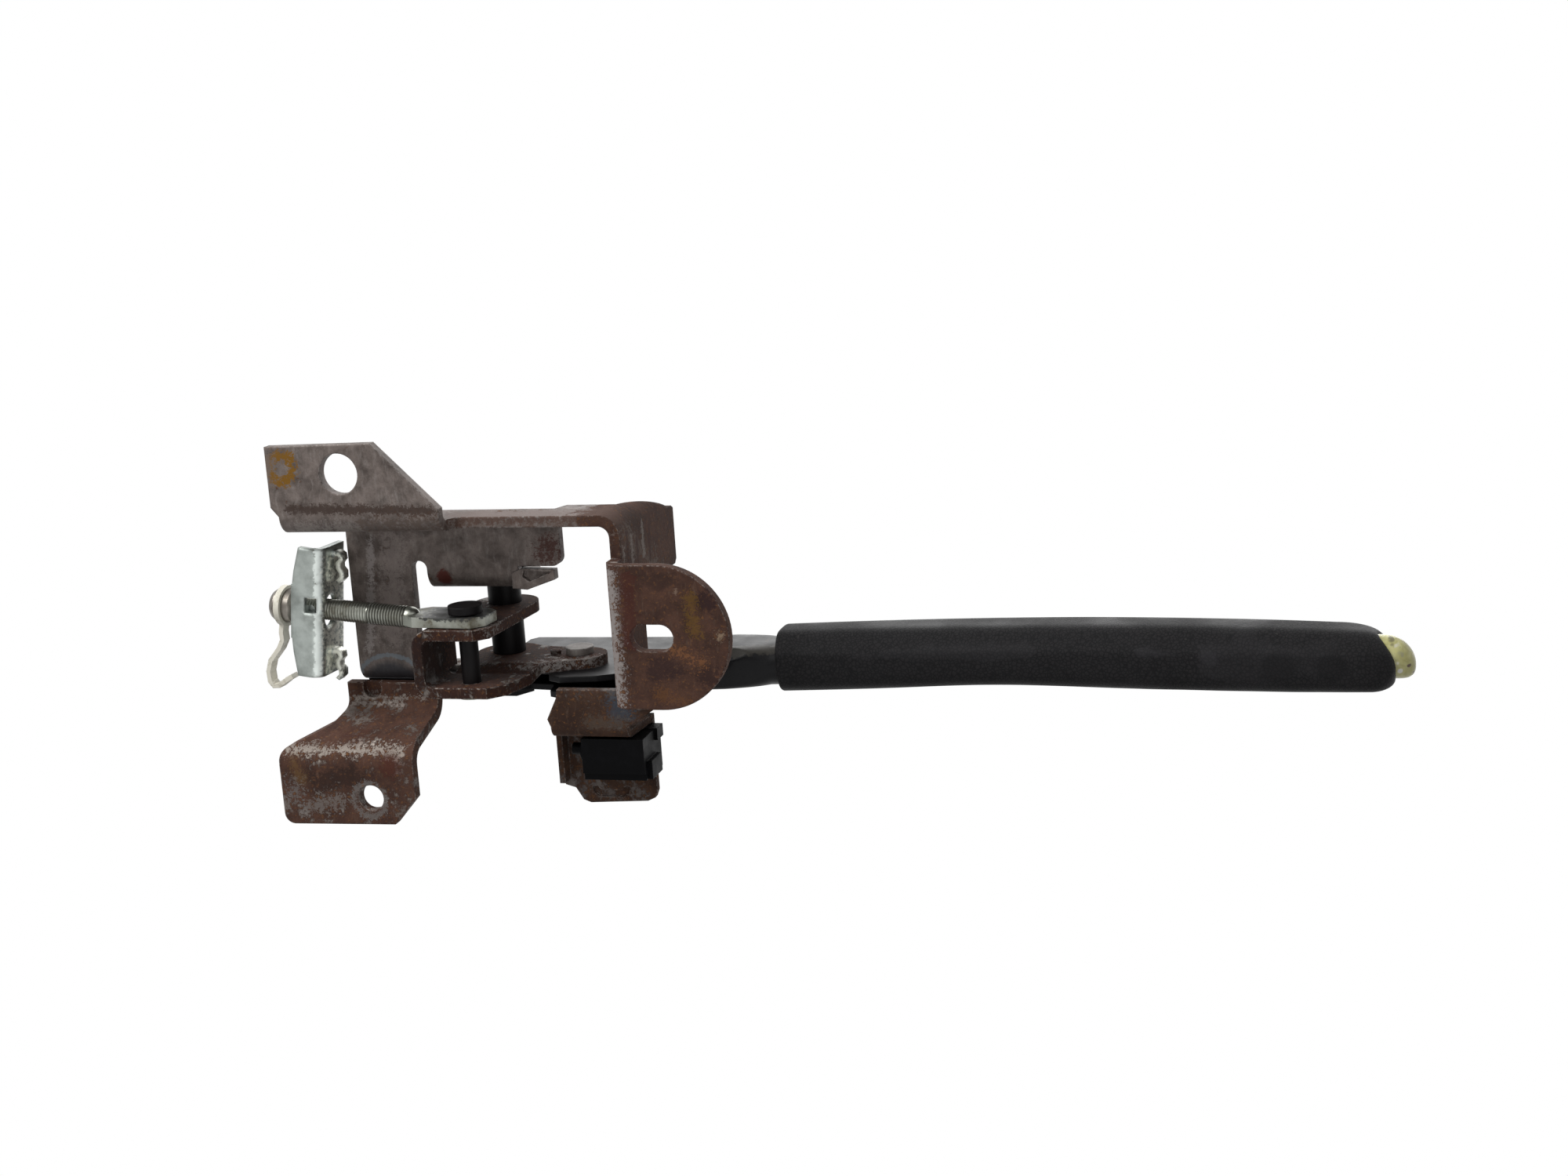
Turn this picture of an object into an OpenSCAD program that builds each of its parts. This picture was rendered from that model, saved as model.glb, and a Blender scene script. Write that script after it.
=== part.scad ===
// Parking brake lever: pressed bracket on three feet, ratchet lever, crank,
// adjuster rod with cable equalizer, and a warning-lamp switch.
// Frame: X forward to the grip, Y to the car's left, Z up; the origin is the
// rear right floor bolt hole at the underside of its foot. Millimetres.

/* [Sheet metal] */
// thickness of the pressed bracket
sheet_t = 3.5; // [2.5:0.1:4.5]
// outer radius of the bracket's bends
bend_r = 6; // [5:0.5:8]
// height of the bracket's web underside over the floor
web_z = 24; // [20:0.5:30]

/* [Feet] */
// bolt hole of the rear right foot
right_hole_d = 13; // [10:0.5:15]
// bolt hole of the rear left foot
left_hole_d = 8.5; // [7:0.5:11]
// sideways place of the rear left bolt hole
left_hole_y = 105.8; // [102:0.2:110]
// fore-aft place of the front foot's slot
front_slot_x = 98.6; // [96:0.2:102]
// length of the front foot's slot
front_slot_l = 13.8; // [10:0.1:15]
// width of the front foot's slot
front_slot_w = 8.5; // [7:0.1:10]
// radius of the front foot's round end
front_foot_r = 22.7; // [20:0.1:24]

/* [Pivot and ratchet] */
// fore-aft place of the lever pivot
pivot_x = 33.5; // [30:0.5:36]
// height of the lever pivot over the floor
pivot_z = 43.5; // [40:0.5:47]
// pivot bolt diameter
bolt_d = 8; // [6:0.5:8]
// outer diameter of the pivot bush
bush_d = 11; // [10:0.5:13]
// tip radius of the ratchet sector
sector_r = 30; // [28:0.5:31]
// angle between two ratchet teeth
tooth_step = 4.5; // [4:0.5:6]
// depth of a ratchet tooth
tooth_h = 2; // [1.5:0.1:2.2]
// thickness of the sector plate
sector_t = 2.6; // [2:0.1:2.8]

/* [Lever and grip] */
// thickness of the lever's cheeks
cheek_t = 2; // [1.6:0.1:2.4]
// sideways place of the lever's middle plane
lever_y = 75.2; // [74.8:0.1:75.6]
// front end of the grip
grip_x1 = 318; // [300:1:330]
// width of the grip
grip_w = 22.4; // [20:0.2:25]
// height of the grip
grip_h = 28; // [27:0.2:31]
// radius of the arch of a grip of the usual length
arch_r = 800; // [700:10:1200]

/* [Crank and adjuster] */
// clear width inside the crank's fork
fork_gap = 15.3; // [14:0.1:16]
// height of the clevis pin over the floor
clevis_z = 12; // [10:0.5:14]
// clevis pin diameter
pin_d = 6; // [5:0.5:6]
// outer diameter of the adjuster rod's thread
rod_d = 7; // [6:0.5:8]
// rearward rise of the adjuster rod
rod_rise = 4; // [2:0.5:5]
// length of the equalizer across the car
yoke_l = 43; // [38:1:48]

/* [Switch] */
// length of the switch body
switch_l = 21; // [20:0.5:26]
// width of the switch body
switch_w = 14; // [12:0.5:16]
// depth of the switch body
switch_h = 18; // [15:0.5:18]

/* [Hidden] */
$fn = 48;
run_gap = 0.35;      // side clearance of pieces on different bodies
shaft_gap = 0.05;    // radial clearance of a running shaft
hole_gap = 0.1;      // radial clearance of a fixed bolt in its hole
bend_in = bend_r - sheet_t;
wall_in = 19.4;      // inner face of the right wall
wall_out = wall_in - sheet_t;
ear_out = 42.7;      // face of the right ear that carries the bush
strip_x0 = -11.8;
strip_x1 = 10.2;
tab_x0 = 15.6;       // rear edge of the tab and of the right ear
tab_r = 3;           // rounded front corner of the tab
tab_y1 = 34.9;       // left edge of the tab in front of the ear
ear_x1 = 47;
tab_x1 = 62;
front_x0 = 84;       // rear face of the front wall
front_x1 = front_x0 + sheet_t;
corner_r = 7;
front_y = 52.3;      // middle of the front foot
ear_top = 63.6;      // top of the front wall's ear
sector_y0 = lever_y - sector_t / 2;
sector_y1 = lever_y + sector_t / 2;
cheek_r = sector_y0 - run_gap - cheek_t;   // outer face of the right cheek
cheek_l = sector_y1 + run_gap + cheek_t;   // outer face of the left cheek
crank_y0 = 51.2;                           // outer face of the upper crank arm
crank_t = 3.5;
fork_y1 = crank_y0 + crank_t + fork_gap;   // inner face of the fork's left side
arm_y1 = cheek_r;                          // joggled left arm lies on the cheek
arm_y0 = arm_y1 - crank_t;
fork_x0 = 16.8;
clevis_x = pivot_x - 0.5;
eye_t = 3.3;
eye_y0 = crank_y0 - run_gap - eye_t;
rod_y = eye_y0 + eye_t / 2;
yoke_s = -54;        // equalizer middle, along the rod from the clevis pin
yoke_t = 2;
yoke_w = 10.6;       // width of the equalizer's face
yoke_h = 15;         // height of its front flange
yoke_r = 4;          // bend between face and front flange
yoke_yaw = 3;        // tip of the equalizer on the rod at rest, degrees
neck_s = -18;        // where the rod's flat eye turns into its round stem
stem_yaw = 4;        // set of the stem to the eye, degrees
face_z = -7;         // underside of the face below the rod's middle
yaw_gap = 0.9;       // room for the equalizer to tip on the rod
nut_l = 9;
nut_r = rod_d / 2 + 2.1;
nut_x = yoke_s - yoke_w / 2 - yaw_gap;   // front of the adjuster nut
grip_x0 = 121;
usual_l = 197;       // length of the usual grip
arch_x = (grip_x0 + grip_x1 + 1) / 2;     // crown of the arch, by the grip's middle
arch_z = 66.5;
bow_r = arch_r * pow((grip_x1 - grip_x0) / usual_l, 2);   // a longer grip keeps its rise
// the cheeks end short of the grip's sloping rear edge
cheek_x1 = grip_x0 - run_gap - grip_h / 2 * (arch_x - grip_x0) / bow_r;
roof_z = pivot_z + sector_r - 0.2;        // inside of the lever's roof over the teeth
tube_w = 13;
tube_h = 24;
tube_wall = 2;
pawl_x = 70;
pawl_z = 62;
pawl_pin_d = 5;
push_x0 = 74.4;
push_x1 = grip_x1 - 13;      // front end of the release rod, inside the button
push_rise = 2;       // degrees
push_d = 3;
push_mid_z = arch_z - tube_h / 2 + tube_wall + push_d / 2 + 0.56;
push_z0 = push_mid_z - (arch_x - push_x0) * tan(push_rise);   // rear end of the release rod
guide_x = push_x1 - 29;      // rear face of the guide that the spring rests on
guide_t = 4;
sector_a0 = 34;      // angle of the first ratchet tooth over the floor
switch_x0 = 65;
switch_y0 = 91;
switch_z0 = 20;
plate_t = 2.5;
back_z = switch_z0 + switch_h + 0.02;
rivet_sw = [switch_x0 + switch_l - 5, 97];
rivet_x = 59.3;
rivet_z = 41;
rivet_rear = [-0.8, 42];     // sector rivet through the bracket's ear
rivet_front = [15.4, 44];      // sector rivet that stiffens the plate

// quarter ring along X: centre (y, z), turning from -Z towards +Y by a
module bend_x(x0, x1, y, z, a) {
  translate([x0, y, z]) rotate([a, 0, 0]) rotate([90, 0, 90])
    linear_extrude(x1 - x0) bend_face(bend_r, bend_in);
}

// quarter ring face in the lower right quadrant
module bend_face(ro, ri) {
  intersection() {
    difference() {
      circle(r = ro);
      circle(r = ri);
    }
    translate([0, -ro]) square(ro);
  }
}

// plate on the XZ plane, from y0 to y1
module plate_xz(y0, y1) {
  translate([0, y1, 0]) rotate([90, 0, 0]) linear_extrude(y1 - y0) children();
}

// plate on the YZ plane, from x0 to x1
module plate_yz(x0, x1) {
  translate([x0, 0, 0]) rotate([90, 0, 90]) linear_extrude(x1 - x0) children();
}

// round bar along Y
module bar_y(x, z, y0, y1, d) {
  translate([x, y1, z]) rotate([90, 0, 0]) cylinder(d = d, h = y1 - y0);
}

// hexagon along Y
module hex_y(x, z, y0, y1, af) {
  translate([x, y1, z]) rotate([90, 0, 0]) cylinder(d = af / cos(30), h = y1 - y0, $fn = 6);
}

module stadium(w, h) {
  square([w, h - w], center = true);
  for (s = [-1, 1]) translate([0, s * (h - w) / 2]) circle(d = w);
}

// the lever's arched length: section (w across, h high) from x0 to x1
module arched(x0, x1) {
  a0 = 90 - asin((x0 - arch_x) / bow_r);
  a1 = 90 - asin((x1 - arch_x) / bow_r);
  translate([arch_x, lever_y, arch_z - bow_r]) rotate([90, 0, 0]) rotate([0, 0, a1])
    rotate_extrude(angle = a0 - a1, $fn = 180) translate([bow_r, 0]) rotate(90) children();
}

// a piece drawn along the adjuster rod: origin at the clevis pin
module on_rod() {
  translate([clevis_x, rod_y, clevis_z]) rotate([0, rod_rise, 0]) children();
}

// a piece on the rod's round stem, which leans a little from the eye
module on_stem() {
  on_rod() translate([neck_s, 0, 0]) rotate([0, 0, stem_yaw]) translate([-neck_s, 0, 0]) children();
}

module right_foot_plate() {
  difference() {
    linear_extrude(sheet_t)
      polygon([[-24.5, -9], [11.4, -9.4], [32.3, 11.5], [32.3, wall_in - bend_r],
        [-22, wall_in - bend_r], [-24.5, wall_in - bend_r - 3]]);
    translate([0, 0, -1]) cylinder(d = right_hole_d, h = sheet_t + 2);
  }
  bend_x(-22, 32.3, wall_in - bend_r, bend_r, 0);
}

module right_wall() {
  top = web_z + sheet_t - bend_r;
  plate_xz(wall_out, wall_in)
    polygon([[-22, bend_r], [32.3, bend_r], [34.5, 9.5], [front_x1 - corner_r, 9.5],
      [front_x1 - corner_r, web_z + 4], [tab_x1 + 2, web_z + 4], [tab_x1, top],
      [strip_x0, top], [-22, bend_r + 4]]);
  bend_x(strip_x0, tab_x1, wall_out + bend_r, top, -180);
}

module web() {
  y0 = wall_out + bend_r;
  translate([0, 0, web_z]) linear_extrude(sheet_t) difference() {
    union() {
      translate([strip_x0, y0]) square([strip_x1 - strip_x0, sector_y0 - bend_r - y0]);
      translate([strip_x1 - 1, y0]) square([ear_x1 - strip_x1 + 1, ear_out - bend_r - y0]);
      translate([ear_x1 - 1, y0]) square([tab_x1 - tab_r - ear_x1 + 1, tab_y1 - y0]);
      translate([tab_x1 - tab_r - 1, y0]) square([tab_r + 1, tab_y1 - tab_r - y0]);
      translate([tab_x1 - tab_r, tab_y1 - tab_r]) circle(r = tab_r);
    }
    relief_slot();
  }
}

// relief slot between strip and tab, with a round end
module relief_slot() {
  w = tab_x0 - strip_x1;
  translate([strip_x1 + w / 2, 33 + w / 2]) circle(d = w);
  translate([strip_x1, 33 + w / 2]) square([w, 30]);
}

module ears() {
  z1 = web_z + bend_r;
  bend_x(tab_x0, ear_x1, ear_out - bend_r, z1, 0);
  plate_xz(ear_out - sheet_t, ear_out) difference() {
    union() {
      translate([tab_x0, z1]) square([ear_x1 - tab_x0, pivot_z - z1]);
      translate([pivot_x, pivot_z]) circle(r = 12);
    }
    translate([pivot_x, pivot_z]) circle(d = bolt_d + 2 * hole_gap);
  }
  bend_x(strip_x0, strip_x1, sector_y0 - bend_r, z1, 0);
  plate_xz(sector_y0 - sheet_t, sector_y0) difference() {
    polygon([[strip_x0, z1], [strip_x1, z1], [strip_x1, 47], [strip_x1 - 5, 52],
      [strip_x0 + 5, 52], [strip_x0, 47]]);
    translate(rivet_rear) circle(d = 5 + 2 * hole_gap);
  }
}

module front_wall() {
  difference() {
    translate([front_x1 - corner_r, wall_out + corner_r, 9.5])
      linear_extrude(ear_top - 9.5) bend_face(corner_r, corner_r - sheet_t);
    translate([front_x1 - corner_r, wall_out, web_z + 4]) rotate([0, 0, 45])
      rotate([0, -72, 0]) translate([-20, -30, 0]) cube([120, 60, 60]);
  }
  plate_yz(front_x0, front_x1)
    polygon([[wall_out + corner_r, 9.5], [29.6, 9.5], [29.6, bend_r], [75, bend_r], [75, 26],
      [73, 28], [46, 28], [42.5, 32], [42.5, ear_top - 1.6], [41, ear_top],
      [wall_out + corner_r + 1, ear_top], [wall_out + corner_r, ear_top - 2]]);
  translate([front_x0 + bend_r, 75, bend_r]) rotate([90, 0, 0]) mirror([1, 0, 0])
    linear_extrude(75 - 29.6) bend_face(bend_r, bend_in);
}

module front_foot() {
  x0 = front_x0 + bend_r;
  cx = 123.3 - front_foot_r;
  difference() {
    linear_extrude(sheet_t) {
      translate([x0, front_y - front_foot_r]) square([cx - x0, 2 * front_foot_r]);
      translate([cx, front_y]) circle(r = front_foot_r, $fn = 96);
    }
    translate([front_slot_x, front_y, -1]) linear_extrude(sheet_t + 2) rotate(90)
      stadium(front_slot_w, front_slot_l);
    translate([0, 0, -1]) cube([x0, 100, 8]);
  }
}

module main_bracket() {
  color([0.42, 0.36, 0.32]) {
    right_foot_plate();
    right_wall();
    web();
    ears();
    front_wall();
    front_foot();
    spring_hook();
  }
}

// lanced tongue beside the right ear: a thick rim round a pressed hollow
module spring_hook() {
  gap = 0.7;
  y = tab_y1 + gap;
  translate([ear_x1, 0, web_z - 0.6]) difference() {
    linear_extrude(3.4)
      polygon([[-2, y + 1.4], [1.4, y], [12.5, y + 0.4], [12.6, y + 3.6], [3, ear_out - 0.2],
        [-2, ear_out - 0.6]]);
    translate([0, 0, -1]) linear_extrude(2.6)
      polygon([[2.2, y + 0.7], [11.6, y + 1.1], [3.8, y + 4.2], [1.6, y + 2.6]]);
  }
}

// points of an arc about c, from angle a0 to a1
function arc(c, r, a0, a1) = [for (i = [0 : 6]) c + polar(r, a0 + (a1 - a0) * i / 6)];

module left_foot() {
  t = sheet_t;
  color([0.40, 0.27, 0.20]) difference() {
    intersection() {
      translate([-40, 0, 0]) plate_yz(0, 60) foot_profile();
      linear_extrude(60)
        polygon(concat([[-17, sector_y0], [15, sector_y0], [15, 105.6], [7, 114.6]],
          arc([-28.5, 111.7], 3.5, 90, 180), [[-32, 95]], arc([-27, 94], 5, 180, 235),
          arc([-24.5, 80.5], 7.5, 40, 0)));
    }
    translate([-0.5, left_hole_y, -1]) cylinder(d = left_hole_d, h = t + 2);
    translate([-8.2, sector_y0 + 2, web_z - 1]) cylinder(d = 6.6, h = t);
  }
}

// side view of the left foot: flat, bent down by a, bent back to the floor
module foot_profile() {
  t = sheet_t;
  a = 74;
  r1 = 4;
  r2 = 5;
  y1 = 79;
  c1 = [y1, web_z - r1];
  m = r1 + t + r2;
  fall = web_z - m * (1 - cos(a)) + 0.001;
  run = m * sin(a) + fall / tan(a);
  c2 = [y1 + run, t + r2];
  polygon(concat([[sector_y0, web_z]], arc(c1, r1, 90, 90 - a), arc(c2, r2 + t, 270 - a, 270),
    [[116, 0], [116, t]], arc(c2, r2, 270, 270 - a), arc(c1, r1 + t, 90 - a, 90),
    [[sector_y0, web_z + t]]));
}

// toothed outline about the pivot: steep face towards the rear
function polar(r, a) = [r * cos(a), r * sin(a)];
module sector_teeth() {
  teeth = [for (i = [0 : 9]) for (p = [[0, 0.35], [1, 0.45], [1, 0.6], [0, 1.3]])
    polar(sector_r - tooth_h * (1 - p[0]), sector_a0 + (i + p[1] - 0.5) * tooth_step)];
  polygon(concat([[0, 0]], [polar(sector_r - tooth_h, sector_a0 - 14)], teeth,
    [polar(sector_r - tooth_h, sector_a0 + 10.5 * tooth_step)]));
}

module sector_plate() {
  color([0.20, 0.19, 0.19]) difference() {
    union() {
      plate_xz(sector_y0, sector_y1)
        polygon([[strip_x0, web_z + sheet_t + 2], [strip_x0, 50], [18, 57], [pivot_x, 64],
          [pivot_x + 10, pivot_z + 3], [pivot_x, 33], [strip_x1 + 4, web_z + sheet_t + 2]]);
      plate_xz(sector_y0, sector_y1) translate([pivot_x, pivot_z]) circle(r = 12);
      plate_xz(sector_y0, sector_y1) translate([pivot_x, pivot_z]) sector_teeth();
    }
    bar_y(pivot_x, pivot_z, 70, 80, bolt_d + 2 * hole_gap);
    bar_y(rivet_rear[0], rivet_rear[1], 70, 80, 5 + 2 * hole_gap);
    bar_y(rivet_front[0], rivet_front[1], 70, 80, 6);
  }
}

module sector_rivet_rear() {
  color([0.35, 0.33, 0.31]) {
    bar_y(rivet_rear[0], rivet_rear[1], sector_y0 - sheet_t - 2, sector_y1 + 2, 5);
    bar_y(rivet_rear[0], rivet_rear[1], sector_y0 - sheet_t - 2.2, sector_y0 - sheet_t, 9);
    bar_y(rivet_rear[0], rivet_rear[1], sector_y1, sector_y1 + 2.2, 9);
  }
}

// headed stud that stiffens the plate beside the pivot
module sector_rivet_front() {
  color([0.35, 0.33, 0.31]) {
    bar_y(rivet_front[0], rivet_front[1], sector_y0 - 0.8, sector_y1 + 0.8, 6);
    bar_y(rivet_front[0], rivet_front[1], sector_y1, sector_y1 + 1.8, 9);
    bar_y(rivet_front[0], rivet_front[1], sector_y0 - 1.8, sector_y0, 9);
  }
}

module pivot_bolt() {
  color([0.30, 0.29, 0.28]) {
    bar_y(pivot_x, pivot_z, ear_out - sheet_t - 1, cheek_l + 3.4, bolt_d);
    bar_y(pivot_x, pivot_z, ear_out - sheet_t - 1.2, ear_out - sheet_t, 17);
    hex_y(pivot_x, pivot_z, ear_out - sheet_t - 6.4, ear_out - sheet_t - 1.2, 13);
  }
}

module pivot_nut() {
  color([0.30, 0.29, 0.28]) difference() {
    union() {
      hex_y(pivot_x, pivot_z, cheek_l + 1, cheek_l + 3, 13);
      bar_y(pivot_x, pivot_z, cheek_l + run_gap, cheek_l + 1, 15);
    }
    bar_y(pivot_x, pivot_z, cheek_l, cheek_l + 10, bolt_d);
  }
}

module switch_bracket() {
  z0 = switch_z0 - 2;
  y_wall = switch_y0 - 0.5;
  color([0.42, 0.28, 0.20]) {
    translate([0, 0, z0]) linear_extrude(plate_t)
      polygon([[59, 74], [83.6, 74], [83.6, 75.2], [front_x1, 75.2], [91, 78],
        [91, 80.5], [82, y_wall - 4], [56, y_wall - 4], [55, 84], [58.5, 77]]);
    translate([0, y_wall - 4, z0 + 4]) plate_yz(56, 82) bend_face(4, 4 - plate_t);
    switch_wall(y_wall, z0);
  }
}

// upright wall, back plate with its slot, and the left flange
module switch_wall(y_wall, z0) {
  plate_xz(y_wall - plate_t, y_wall)
    polygon([[56, z0 + 4], [82, z0 + 4], [83.5, back_z + plate_t], [53, back_z + plate_t]]);
  difference() {
    translate([0, 0, back_z]) linear_extrude(plate_t) difference() {
      polygon([[51.5, y_wall - 1], [83.5, y_wall - 1], [83.5, 114], [82.6, 116.4], [80, 117.6],
        [60, 118.6], [57.5, 117.6], [55, 113.5], [51.5, 112.5]]);
      translate([rivet_sw[0], rivet_sw[1]]) circle(d = 4);
    }
    translate([67.5, 113.4, back_z - 1]) linear_extrude(1.9) difference() {
      rotate(90) stadium(6, 13);
      translate([-8, -5]) square([16, 4.4]);
      translate([0, -1.4]) rotate(90) stadium(4.4, 9.6);
    }
  }
  translate([0, 0, back_z - 5]) linear_extrude(5 + plate_t)
    polygon([[51.5, y_wall + 1], [53.5, y_wall + 1], [53.5, 110.5], [51.5, 110.5]]);
}

module switch_body() {
  x1 = switch_x0 + switch_l;
  color([0.13, 0.13, 0.14]) difference() {
    union() {
      translate([switch_x0, switch_y0, switch_z0]) cube([switch_l, switch_w, switch_h]);
      translate([x1, switch_y0 + 8, switch_z0 + 3]) cube([1.6, 6, 10]);
      translate([x1 - 5, switch_y0 - 0.3, switch_z0 + 12]) cube([6, 4, 6]);
      translate([switch_x0 - 2.5, switch_y0 + 6, switch_z0 + 9]) rotate([0, 90, 0])
        cylinder(d = 8, h = 2.5);
    }
    translate([switch_x0 - 3, switch_y0 + 6, switch_z0 + 9]) rotate([0, 90, 0])
      cylinder(d = 4 + 2 * shaft_gap, h = 14);
    translate([rivet_sw[0], rivet_sw[1], switch_z0 + 6]) cylinder(d = 4, h = 20);
    translate([switch_x0 - 1, switch_y0 + switch_w - 2.4, switch_z0 - 1]) cube([switch_l + 5, 3, 2.2]);
  }
}

module switch_rivet() {
  color([0.55, 0.52, 0.45]) {
    translate([rivet_sw[0], rivet_sw[1], switch_z0 + 8])
      cylinder(d = 3.9, h = back_z - switch_z0 - 8 + plate_t + 1);
    translate([rivet_sw[0], rivet_sw[1], back_z + plate_t]) cylinder(d1 = 7.5, d2 = 5, h = 1.8);
  }
}

module switch_plunger() {
  color([0.75, 0.73, 0.66]) translate([switch_x0 - 6, switch_y0 + 6, switch_z0 + 9])
    rotate([0, 90, 0]) {
      cylinder(d = 4, h = 12);
      cylinder(d1 = 2.4, d2 = 4, h = 1.2);
    }
}

// side outline of the lever's cheeks
module cheek_face() {
  difference() {
    union() {
      polygon([[pivot_x - 4, 56], [pivot_x - 4, roof_z - 1], [31.5, roof_z + cheek_t],
        [62, roof_z + cheek_t + 0.6], [92, roof_z + cheek_t + 1.6],
        [cheek_x1, roof_z + cheek_t + 1.6], [cheek_x1, 49], [101, 46], [90, 40], [80, 31],
        [70, 26], [58, 24], [53.5, 26.5], [52, 34], [44, 35]]);
      translate([pivot_x, pivot_z]) circle(r = 13);
    }
    translate([pivot_x, pivot_z]) circle(d = bolt_d + 2 * shaft_gap);
    translate([pawl_x, pawl_z]) circle(d = pawl_pin_d);
    translate([rivet_x, rivet_z]) circle(d = 5);
  }
}

// inside of the lever's channel, open downwards
module cheek_room() {
  translate([-20, cheek_r + cheek_t, -10]) cube([125, sector_t + 2 * run_gap, roof_z + 10]);
  translate([100, cheek_r + cheek_t, 51.2]) cube([30, sector_t + 2 * run_gap, roof_z - 51.2]);
}

module lever_arm() {
  color([0.09, 0.09, 0.10]) {
    difference() {
      plate_xz(cheek_r, cheek_l) cheek_face();
      cheek_room();
    }
    difference() {
      arched(96, grip_x1 - 19) stadium(tube_w, tube_h);
      arched(90, grip_x1 + 1) stadium(tube_w - 2 * tube_wall, tube_h - 2 * tube_wall);
    }
  }
}

module pivot_bush() {
  color([0.12, 0.12, 0.13]) difference() {
    bar_y(pivot_x, pivot_z, ear_out + run_gap, arm_y0, bush_d);
    bar_y(pivot_x, pivot_z, ear_out, arm_y0 + 1, bolt_d + 2 * shaft_gap);
  }
}

module fork_face() {
  difference() {
    union() {
      polygon([[fork_x0 + 6, 4], [38, 4], [42, 8], [pivot_x + 11, pivot_z],
        [pivot_x - 11, pivot_z], [fork_x0 + 6, 22]]);
      translate([pivot_x, pivot_z]) circle(r = 11);
    }
    translate([clevis_x, clevis_z]) circle(d = pin_d);
  }
}

module crank() {
  color([0.40, 0.26, 0.20]) {
    plate_xz(crank_y0, crank_y0 + crank_t) difference() {
      fork_face();
      translate([pivot_x, pivot_z]) circle(d = bush_d);
    }
    fork_web();
    plate_xz(fork_y1, fork_y1 + crank_t) difference() {
      polygon([[fork_x0 + 6, 4], [41, 4], [46, 9], [49, 22], [fork_x0 + 6, 22]]);
      translate([clevis_x, clevis_z]) circle(d = pin_d);
    }
    joggle();
    bar_y(rivet_x - 8, rivet_z - 1, arm_y0 - 1.4, arm_y0 + 1, 3.6);
    plate_xz(arm_y0, arm_y1) difference() {
      union() {
        polygon([[fork_x0 + 6, 28], [50.5, 28], [55, 30], [64, 35], [rivet_x + 4, 48],
          [46, 50], [pivot_x, pivot_z + 11], [pivot_x - 11, pivot_z]]);
        translate([pivot_x, pivot_z]) circle(r = 11);
        translate([rivet_x + 1, rivet_z]) circle(r = 8);
      }
      translate([pivot_x, pivot_z]) circle(d = bolt_d + 2 * shaft_gap);
      translate([rivet_x, rivet_z]) circle(d = 5);
    }
  }
}

// rear web of the fork with its two round corners
module fork_web() {
  y0 = crank_y0;
  y1 = fork_y1 + crank_t;
  r = 6;
  translate([0, 0, 4]) linear_extrude(18) {
    translate([fork_x0, y0 + r]) square([crank_t, y1 - y0 - 2 * r]);
    translate([fork_x0 + r, y0 + r]) mirror([1, 0]) bend_face(r, r - crank_t);
    translate([fork_x0 + r, y1 - r]) rotate(180) bend_face(r, r - crank_t);
  }
  translate([0, 0, 21]) linear_extrude(9) {
    translate([fork_x0, y0 + r]) square([crank_t, fork_y1 - y0 - r - 1]);
    translate([fork_x0 + r, y0 + r]) mirror([1, 0]) bend_face(r, r - crank_t);
  }
}

// sloped step from the fork's left side to the arm on the cheek
module joggle() {
  intersection() {
    plate_yz(fork_x0 + 6, 52)
      polygon([[fork_y1, 22], [fork_y1 + crank_t, 22], [arm_y1, 28], [arm_y0, 28]]);
    plate_xz(60, 80) polygon([[fork_x0 + 6, 22], [49, 22], [50.5, 28], [fork_x0 + 6, 28]]);
  }
}

module crank_rivet() {
  color([0.45, 0.42, 0.38]) {
    bar_y(rivet_x, rivet_z, arm_y0 - 1, cheek_r + cheek_t, 5);
    bar_y(rivet_x, rivet_z, arm_y0 - 2.4, arm_y0, 9.2);
  }
}

module grip() {
  color([0.16, 0.16, 0.17]) {
    difference() {
      arched(grip_x0, grip_x1 - 4) stadium(grip_w, grip_h);
      arched(grip_x0 - 5, grip_x1 + 5) stadium(tube_w + 0.04, tube_h + 0.04);
    }
    difference() {
      arched(grip_x1 - 4, grip_x1) stadium(grip_w - 3, grip_h - 3);
      translate([grip_x1 - 12, lever_y, push_z(push_x1)]) rotate([0, 90, 0])
        cylinder(d = 13.6, h = 20);
    }
  }
}

module pawl_pin() {
  color([0.5, 0.5, 0.48]) bar_y(pawl_x, pawl_z, cheek_r - 0.6, cheek_l + 0.6, pawl_pin_d);
}

module pawl() {
  ta = sector_a0 + 2.6 * tooth_step;
  tip = [pivot_x, pivot_z] + polar(sector_r + 0.25, ta);
  y0 = sector_y0 + 0.1;
  y1 = sector_y1 - 0.1;
  color([0.3, 0.3, 0.3]) difference() {
    union() {
      bar_y(pawl_x, pawl_z, y0, y1, 10);
      plate_xz(y0, y1) polygon([tip, tip + [3.2, -2.2], [pawl_x, pawl_z - 4.8],
        [pawl_x, pawl_z + 4.8], tip + [3, 3.2]]);
      plate_xz(y0, y1) polygon([[pawl_x - 4.5, pawl_z - 1], [pawl_x + 4.5, pawl_z - 1],
        [pawl_x + 2.4, push_z0 - 3], [pawl_x - 1.6, push_z0 - 3]]);
    }
    bar_y(pawl_x, pawl_z, 70, 80, pawl_pin_d + 2 * shaft_gap);
  }
}

// height of the release rod's middle at x
function push_z(x) = push_z0 + (x - push_x0) * tan(push_rise);

module release_rod() {
  l = (push_x1 - push_x0) / cos(push_rise);
  color([0.6, 0.6, 0.58]) translate([push_x0, lever_y, push_z0]) rotate([0, 90 - push_rise, 0]) {
    cylinder(d = 2.6, h = l);
    translate([0, 0, 40]) cylinder(d = push_d, h = l - 40);
  }
}

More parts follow.
